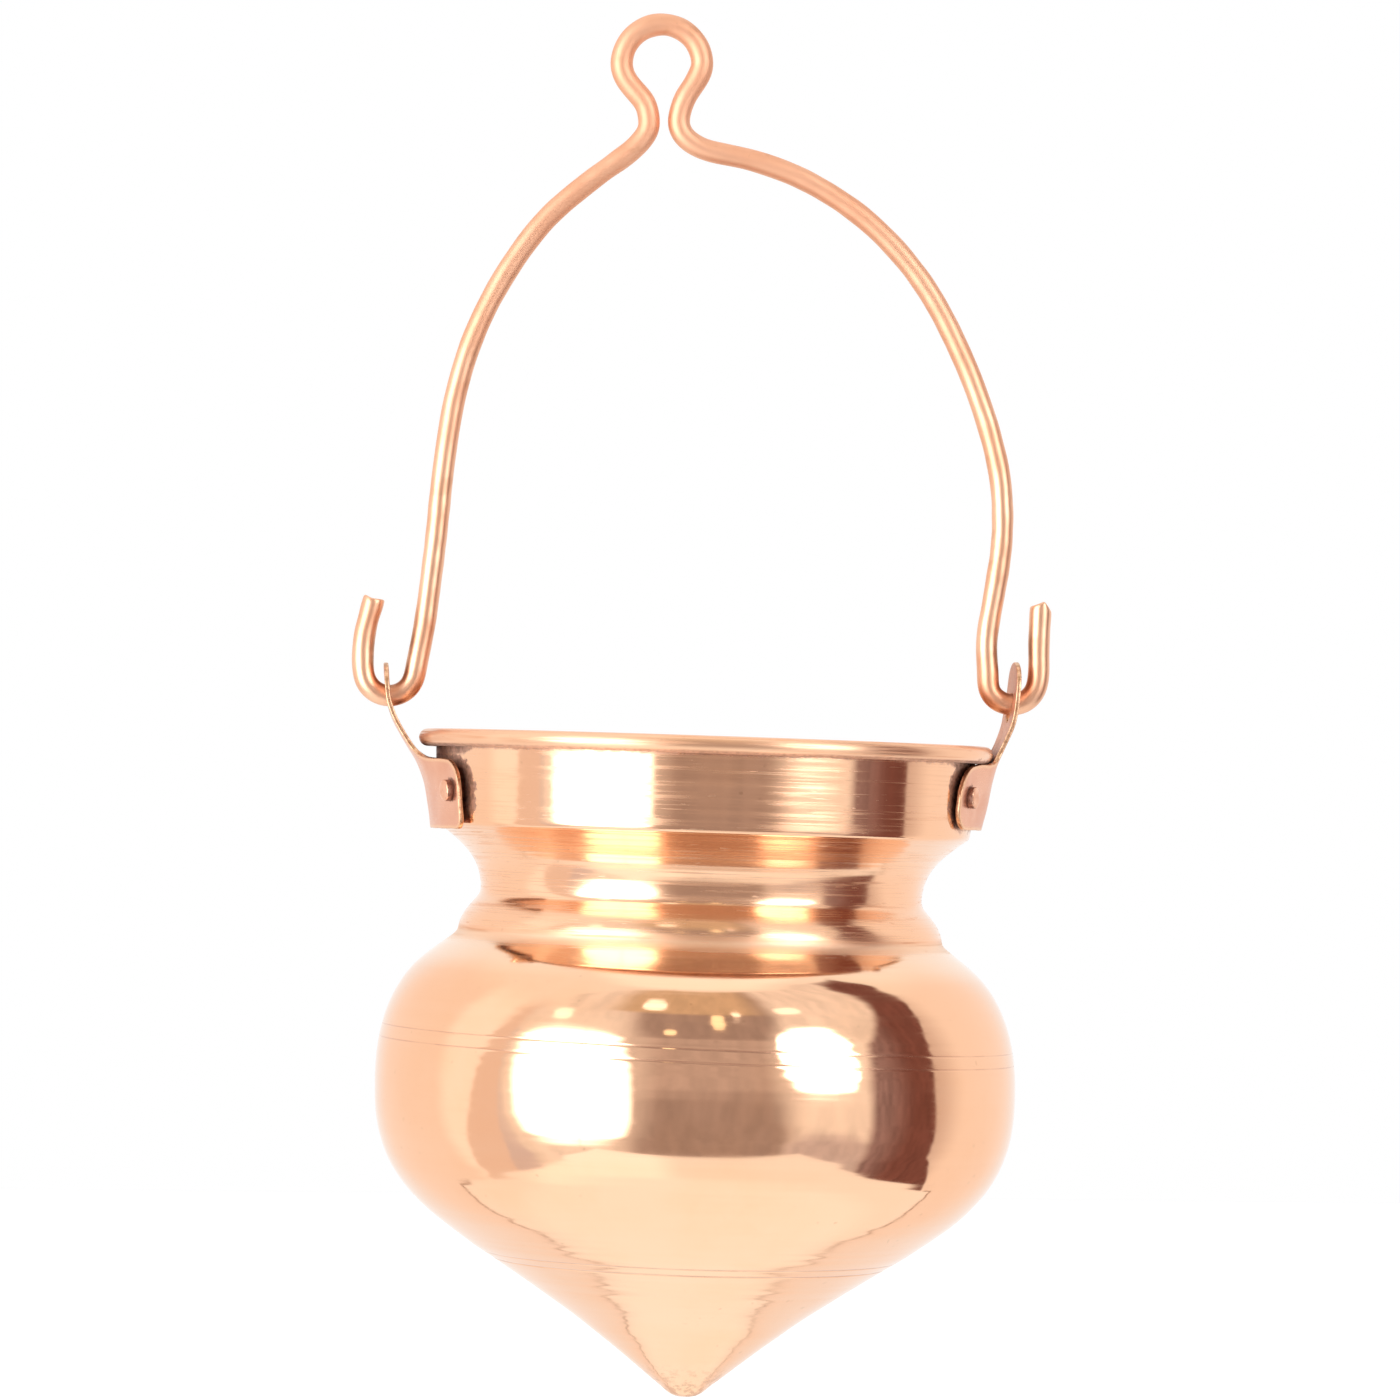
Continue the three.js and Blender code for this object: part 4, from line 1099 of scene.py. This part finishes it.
def hung(points, side=1):
    """From the pot's upright frame to the part's frame."""
    points = np.asarray(points) * (side, side, 1)
    return points @ np.array(turn).T + np.array(POT_PLACE)


points, faces, layers = vessel_mesh()
make_piece("vessel_spun", hung(points), faces, "vessel", ["vessel_body"],
           vessel_copper(), layers)

rivet_metal = rivet_copper()
for number, (name, sheet) in enumerate(sheets.items()):
    side = sheet.ear["side"]
    points, faces, layers = ear_mesh(sheet, 31 + number)
    make_piece(f"ear_{name}_bent", hung(points, side), faces, "vessel", [f"ear_{name}"],
               ear_copper(sheet.ear), layers)
    for hand in (-1, 1):
        where = "front" if hand * side < 0 else "back"
        points, faces, layers = rivet_mesh(sheet, hand, 5 * number + hand)
        make_piece(f"rivet_{name}_{where}_set", hung(points, side), faces, "vessel",
                   [f"rivet_{name}_{where}"], rivet_metal, layers)

points, faces, layers = bail_mesh(eye_span)
make_piece("bail_wire", points, faces, "bail", ["bail"], wire_copper(), layers)


# Camera

CAMERA_TURN = -3
CAMERA_DISTANCE = 1290
CAMERA_TARGET = Vector((9.5, 0, -148.6))
CAMERA_ROLL = 0.789
CAMERA_TILT = 0.75
PHOTO_FOCAL_PIXELS = 6515
PHOTO_PIXELS = 1400

aim = math.radians(CAMERA_TURN)
right = Vector((math.cos(aim), math.sin(aim), 0))
forward = Vector((-math.sin(aim), math.cos(aim), 0))
up = Vector((0, 0, 1))
roll, tilt = math.radians(CAMERA_ROLL), math.radians(CAMERA_TILT)
across = math.cos(roll) * right + math.sin(roll) * up
down = math.sin(roll) * right - math.cos(roll) * up
view_line = math.cos(tilt) * forward - math.sin(tilt) * down
view_down = math.cos(tilt) * down + math.sin(tilt) * forward
camera_data = bpy.data.cameras.new("camera")
camera_data.sensor_width = 36
camera_data.lens = camera_data.sensor_width * PHOTO_FOCAL_PIXELS / PHOTO_PIXELS
camera_data.clip_start = 0.05
camera_data.clip_end = 50
camera = bpy.data.objects.new("camera", camera_data)
bpy.context.scene.collection.objects.link(camera)
columns = Matrix((across, -view_down, -view_line)).transposed().to_4x4()
camera.matrix_world = Matrix.Translation((CAMERA_TARGET - CAMERA_DISTANCE * forward) * MM) @ columns
bpy.context.scene.camera = camera


# Surroundings: a pale tent that stands round the pot like a box, open in front to a dim room with
# two soft lamps. Turns and rises are degrees round the pot from the photograph's side and above the
# horizon. Colours are amounts of light, where 1 is white.

WALL = (1.04, 0.97, 0.92)
WALL_BRIGHT = (1.20, 1.18, 1.15)
WALL_SHADED = (0.92, 0.80, 0.74)
WALL_CORNER = (0.75, 0.66, 0.63)
WALL_HIGH = (1.08, 1.06, 1.02)
ROOF = (1.30, 1.28, 1.25)
GROUND = (1.12, 1.12, 1.10)
GROUND_BRIGHT = (1.38, 1.38, 1.36)
GROUND_BELOW = (1.16, 1.22, 1.22)
SEAM = (0.35, 0.22, 0.16)
ROOM_PALE = (0.98, 0.95, 0.92)
ROOM_DIM = (0.42, 0.35, 0.33)
ROOM_BACK = (0.58, 0.50, 0.47)
ROOM_FLOOR = (0.66, 0.61, 0.63)
CEILING = (0.70, 0.57, 0.41)
PANEL_NEAR = (0.32, 0.23, 0.24)
PANEL_FAR = (0.20, 0.09, 0.08)
CLOTH = (0.76, 0.71, 0.75)
GLOW = (1.12, 1.10, 1.06)
LAMP = (4.5, 4.5, 4.5)
SMALL_LAMP = (2.0, 1.95, 1.8)
YELLOW_LAMP = (1.9, 1.7, 1.2)

# How steeply the view falls to each wall's foot: the pot's height over the wall's distance
FOOT_SLOPES = {"front": 0.7, "right": 0.82, "back": 1.28, "left": 0.9}


class Studio(Tree):
    """A world's node tree with the turn and rise of every direction, and shapes drawn in them."""

    def __init__(self, tree):
        super().__init__(tree)
        self.toward = self.node("TexCoord").outputs["Generated"]
        degrees = 180 / math.pi
        to_right, to_front = self.along(right), self.along(-forward)
        self.azimuth = self.times(self.math("ARCTAN2", to_right, to_front), degrees)
        self.elevation = self.times(self.math("ARCSINE", self.along(up)), degrees)
        self.turn_share = self.math("MULTIPLY_ADD", self.azimuth, 1 / 360, 0.5)
        self.rise_share = self.math("MULTIPLY_ADD", self.elevation, 1 / 180, 0.5)
        sides = {"front": -forward, "right": right, "back": forward, "left": -right}
        falls = [self.times(self.along(sides[side]), slope) for side, slope in FOOT_SLOPES.items()]
        fall = self.math("ARCTAN2", self.most(*falls), self.distance(to_right, to_front))
        self.foot = self.times(fall, -degrees)

    def along(self, direction):
        made = self.node("VectorMath", {0: self.toward, 1: tuple(direction)}, operation="DOT_PRODUCT")
        return made.outputs["Value"]

    def level(self, *stops):
        """A rise that changes with the turn."""
        share = self.ramp(self.turn_share, [((turn + 180) / 360, (rise + 90) / 180) for turn, rise in stops])
        return self.math("MULTIPLY_ADD", share, 180.0, -90.0)

    def edge(self, *stops):
        """A turn that changes with the rise."""
        share = self.ramp(self.rise_share, [((rise + 90) / 180, (turn + 180) / 360) for rise, turn in stops])
        return self.math("MULTIPLY_ADD", share, 360.0, -180.0)

    def past(self, value, limit, soft):
        """Rises from 0 to 1 as value passes limit."""
        return self.fade(self.minus(value, limit), -soft, soft)

    def before(self, value, limit, soft):
        return self.minus(1.0, self.past(value, limit, soft))

    def within(self, value, low, high, low_soft, high_soft):
        return self.times(self.past(value, low, low_soft), self.before(value, high, high_soft))

    def spot(self, turn, rise, half_turn, half_rise, soft=0.3, slant=0.0):
        """A soft-edged lamp or patch; slant is how far it leans aside for each degree up."""
        above = self.minus(self.elevation, rise)
        aside = self.minus(self.minus(self.azimuth, turn), self.times(above, slant))
        reach = self.plus(*[
            self.power(self.math("ABSOLUTE", self.math("DIVIDE", value, half)), 3.0)
            for value, half in ((aside, half_turn), (above, half_rise))
        ])
        return self.fade(reach, 1 - soft, 1 + soft, 1.0, 0.0)

    def streaks(self, turn_scale, rise_scale, detail, roughness):
        place = self.joined(self.times(self.azimuth, turn_scale), self.times(self.elevation, rise_scale))
        return self.noise(place, 1.6, detail, roughness)


def tent_colour(studio):
    """The tent's walls, roof and ground, with a dark seam where wall and ground meet at the back."""
    azimuth, elevation, foot = studio.azimuth, studio.elevation, studio.foot
    walls = studio.mix(studio.within(azimuth, -103.0, -80.0, 5.0, 3.0), WALL, WALL_BRIGHT)
    slanted = studio.edge((-40, -101), (0, -86), (40, -75))
    shaded = studio.times(studio.past(azimuth, slanted, 1.2), studio.before(azimuth, -60.0, 5.0))
    walls = studio.mix(shaded, walls, WALL_SHADED)
    walls = studio.mix(studio.within(azimuth, 90.0, 105.0, 2.0, 9.0), walls, WALL_CORNER)
    walls = studio.mix(studio.past(elevation, 42.0, 8.0), walls, WALL_HIGH)
    walls = studio.mix(studio.past(elevation, 71.0, 4.0), walls, ROOF)
    bright = studio.within(azimuth, -80.0, -12.0, 12.0, 8.0)
    ground = studio.mix(bright, GROUND, GROUND_BRIGHT)
    ground = studio.mix(studio.past(elevation, -53.0, 6.0), GROUND_BELOW, ground)
    tent = studio.mix(studio.past(elevation, foot, 0.6), ground, walls)
    seam = studio.times(studio.within(studio.minus(elevation, foot), -0.5, 0.5, 0.4, 0.4),
                        studio.past(studio.math("ABSOLUTE", azimuth), 118.0, 1.0))
    return studio.mix(studio.times(seam, 0.9), tent, SEAM)


def room_colour(studio):
    """The room before the tent: dim in the middle, pale at both sides, with a tan ceiling."""
    azimuth, elevation = studio.azimuth, studio.elevation
    dim = studio.within(azimuth, -27.0, 36.0, 8.0, 6.0)
    room = studio.mix(dim, ROOM_PALE, ROOM_DIM)
    room = studio.mix(studio.times(dim, studio.within(elevation, -1.0, 27.0, 3.0, 2.0)), room, ROOM_BACK)
    room = studio.mix(studio.spot(52, -30, 17, 13, 0.6), room, ROOM_FLOOR)
    ceiling = studio.times(studio.past(elevation, 46.0, 2.0), studio.within(azimuth, -38.0, 30.0, 10.0, 9.0))
    room = studio.mix(ceiling, room, CEILING)
    patches = studio.fade(studio.streaks(0.1, 0.05, 3, 0.6), 0.3, 0.7, 0.9, 1.1)
    return studio.mix(1.0, room, patches, blend="MULTIPLY")


def with_hangings(studio, room):
    """Adds a dark panel at the right and a strip of cloth at the left."""
    azimuth, elevation = studio.azimuth, studio.elevation
    panel = studio.mix(studio.past(azimuth, 78.0, 9.0), PANEL_NEAR, PANEL_FAR)
    strokes = studio.fade(studio.streaks(0.25, 0.06, 4, 0.65), 0.3, 0.7, 0.8, 1.25)
    panel = studio.mix(1.0, panel, strokes, blend="MULTIPLY")
    panel_left = studio.edge((-40, 69), (4, 65), (20, 68), (40, 85), (60, 91))
    hung = studio.times(studio.past(azimuth, panel_left, 3.0), studio.before(elevation, 63.0, 4.0))
    room = studio.mix(hung, room, panel)
    cloth_right = studio.edge((-43, -66), (5, -73), (25, -70))
    hung = studio.times(studio.before(azimuth, cloth_right, 1.5), studio.before(elevation, 26.0, 1.5))
    return studio.mix(hung, room, CLOTH)


def with_lamps(studio, room):
    """Adds the glow round the soft lamps, the lamps with a pole and a bar before them, and small ones."""
    azimuth, elevation = studio.azimuth, studio.elevation
    glow = studio.most(studio.spot(-46, 4, 29, 36, 0.7), studio.spot(47, 12, 19, 27, 0.7))
    room = studio.mix(studio.times(glow, 0.45), room, GLOW)
    small = studio.most(studio.spot(-20, 54, 6, 4), studio.spot(-58, 39, 4, 4, 0.6),
                        studio.spot(45, 49, 6, 2.5, 0.3, -0.6), studio.spot(19, 47, 2, 3))
    room = studio.mix(small, room, SMALL_LAMP)
    yellow = studio.most(studio.spot(10, 41, 3, 4.5, 0.5), studio.spot(-10, 33, 2.5, 2.5, 0.5))
    room = studio.mix(studio.times(yellow, 0.9), room, YELLOW_LAMP)
    pole = studio.within(azimuth, -44.0, -43.0, 0.4, 0.4)
    bar = studio.times(studio.within(azimuth, 52.0, 55.5, 0.5, 0.5), studio.before(elevation, 10.0, 5.0))
    lamps = studio.most(*[
        studio.times(lamp, studio.minus(1.0, studio.times(shade, depth)))
        for lamp, shade, depth in ((studio.spot(-45.5, 2.5, 22, 27, 0.4, -0.07), pole, 0.4),
                                   (studio.spot(46.5, 17, 15, 18, 0.2, -0.08), bar, 0.35))
    ])
    return studio.mix(lamps, room, LAMP)


def paint_world():
    world = bpy.data.worlds.new("studio")
    bpy.context.scene.world = world
    world.use_nodes = True
    studio = Studio(world.node_tree)
    azimuth, elevation = studio.azimuth, studio.elevation
    room = with_lamps(studio, with_hangings(studio, room_colour(studio)))
    opening_left = studio.edge((-44, -83), (-25, -76), (35, -72), (55, -61), (68, -39))
    opening_right = studio.edge((-40, 121), (-24, 99), (0, 95), (20, 97), (60, 115))
    top = studio.level((-76, 30), (-60, 61), (-20, 69), (80, 67), (112, 62))
    opening = studio.times(studio.within(azimuth, opening_left, opening_right, 0.7, 1.0),
                           studio.within(elevation, studio.foot, top, 0.6, 1.2))
    surroundings = studio.mix(opening, tent_colour(studio), room)
    # the white ground behind the pot, as the camera sees it and as the metal shows it
    path = studio.node("LightPath").outputs
    mirrored = studio.most(path["Is Glossy Ray"], path["Is Transmission Ray"])
    behind = studio.times(studio.past(studio.math("ABSOLUTE", azimuth), 152.0, 10.0),
                          studio.within(elevation, -48.0, 60.0, 8.0, 8.0))
    white = studio.most(path["Is Camera Ray"], studio.times(mirrored, behind))
    colour = studio.mix(white, surroundings, (1.0, 1.0, 1.0))
    background = studio.node("Background", {"Color": colour, "Strength": 1.0})
    studio.node("OutputWorld", {0: background.outputs[0]})


paint_world()


# Floor: pale, and white where it is seen unshadowed, with the pot's soft shadow kept. The painted
# surroundings already hold the ground that the metal shows.

FLOOR_HALF_SIZE = 3.0
FLOOR_HEIGHT = -0.42
FLOOR_LIFT = 0.15


def make_floor():
    mesh = bpy.data.meshes.new("floor")
    corners = ((-1, -1), (1, -1), (1, 1), (-1, 1))
    mesh.from_pydata([(x * FLOOR_HALF_SIZE, y * FLOOR_HALF_SIZE, FLOOR_HEIGHT) for x, y in corners],
                     [], [(0, 1, 2, 3)])
    floor = bpy.data.objects.new("floor", mesh)
    bpy.context.scene.collection.objects.link(floor)
    material, tree = fresh_material("floor")
    grain = tree.noise(tree.node("TexCoord").outputs["Object"], 12, 3, 0.5)
    pale = tree.mix(grain, (0.93, 0.93, 0.93), (0.95, 0.95, 0.95))
    diffuse = tree.node("BsdfDiffuse", {"Color": pale})
    path = tree.node("LightPath").outputs
    shown = tree.most(path["Is Camera Ray"], path["Is Glossy Ray"], path["Is Transmission Ray"])
    lift = tree.node("Emission", {"Color": (1, 1, 1, 1), "Strength": tree.times(shown, FLOOR_LIFT)})
    added = tree.node("AddShader", {0: diffuse.outputs[0], 1: lift.outputs[0]})
    tree.node("OutputMaterial", {0: added.outputs[0]})
    mesh.materials.append(material)
    floor.visible_glossy = False


make_floor()

scene = bpy.context.scene
scene.view_settings.view_transform = "Standard"
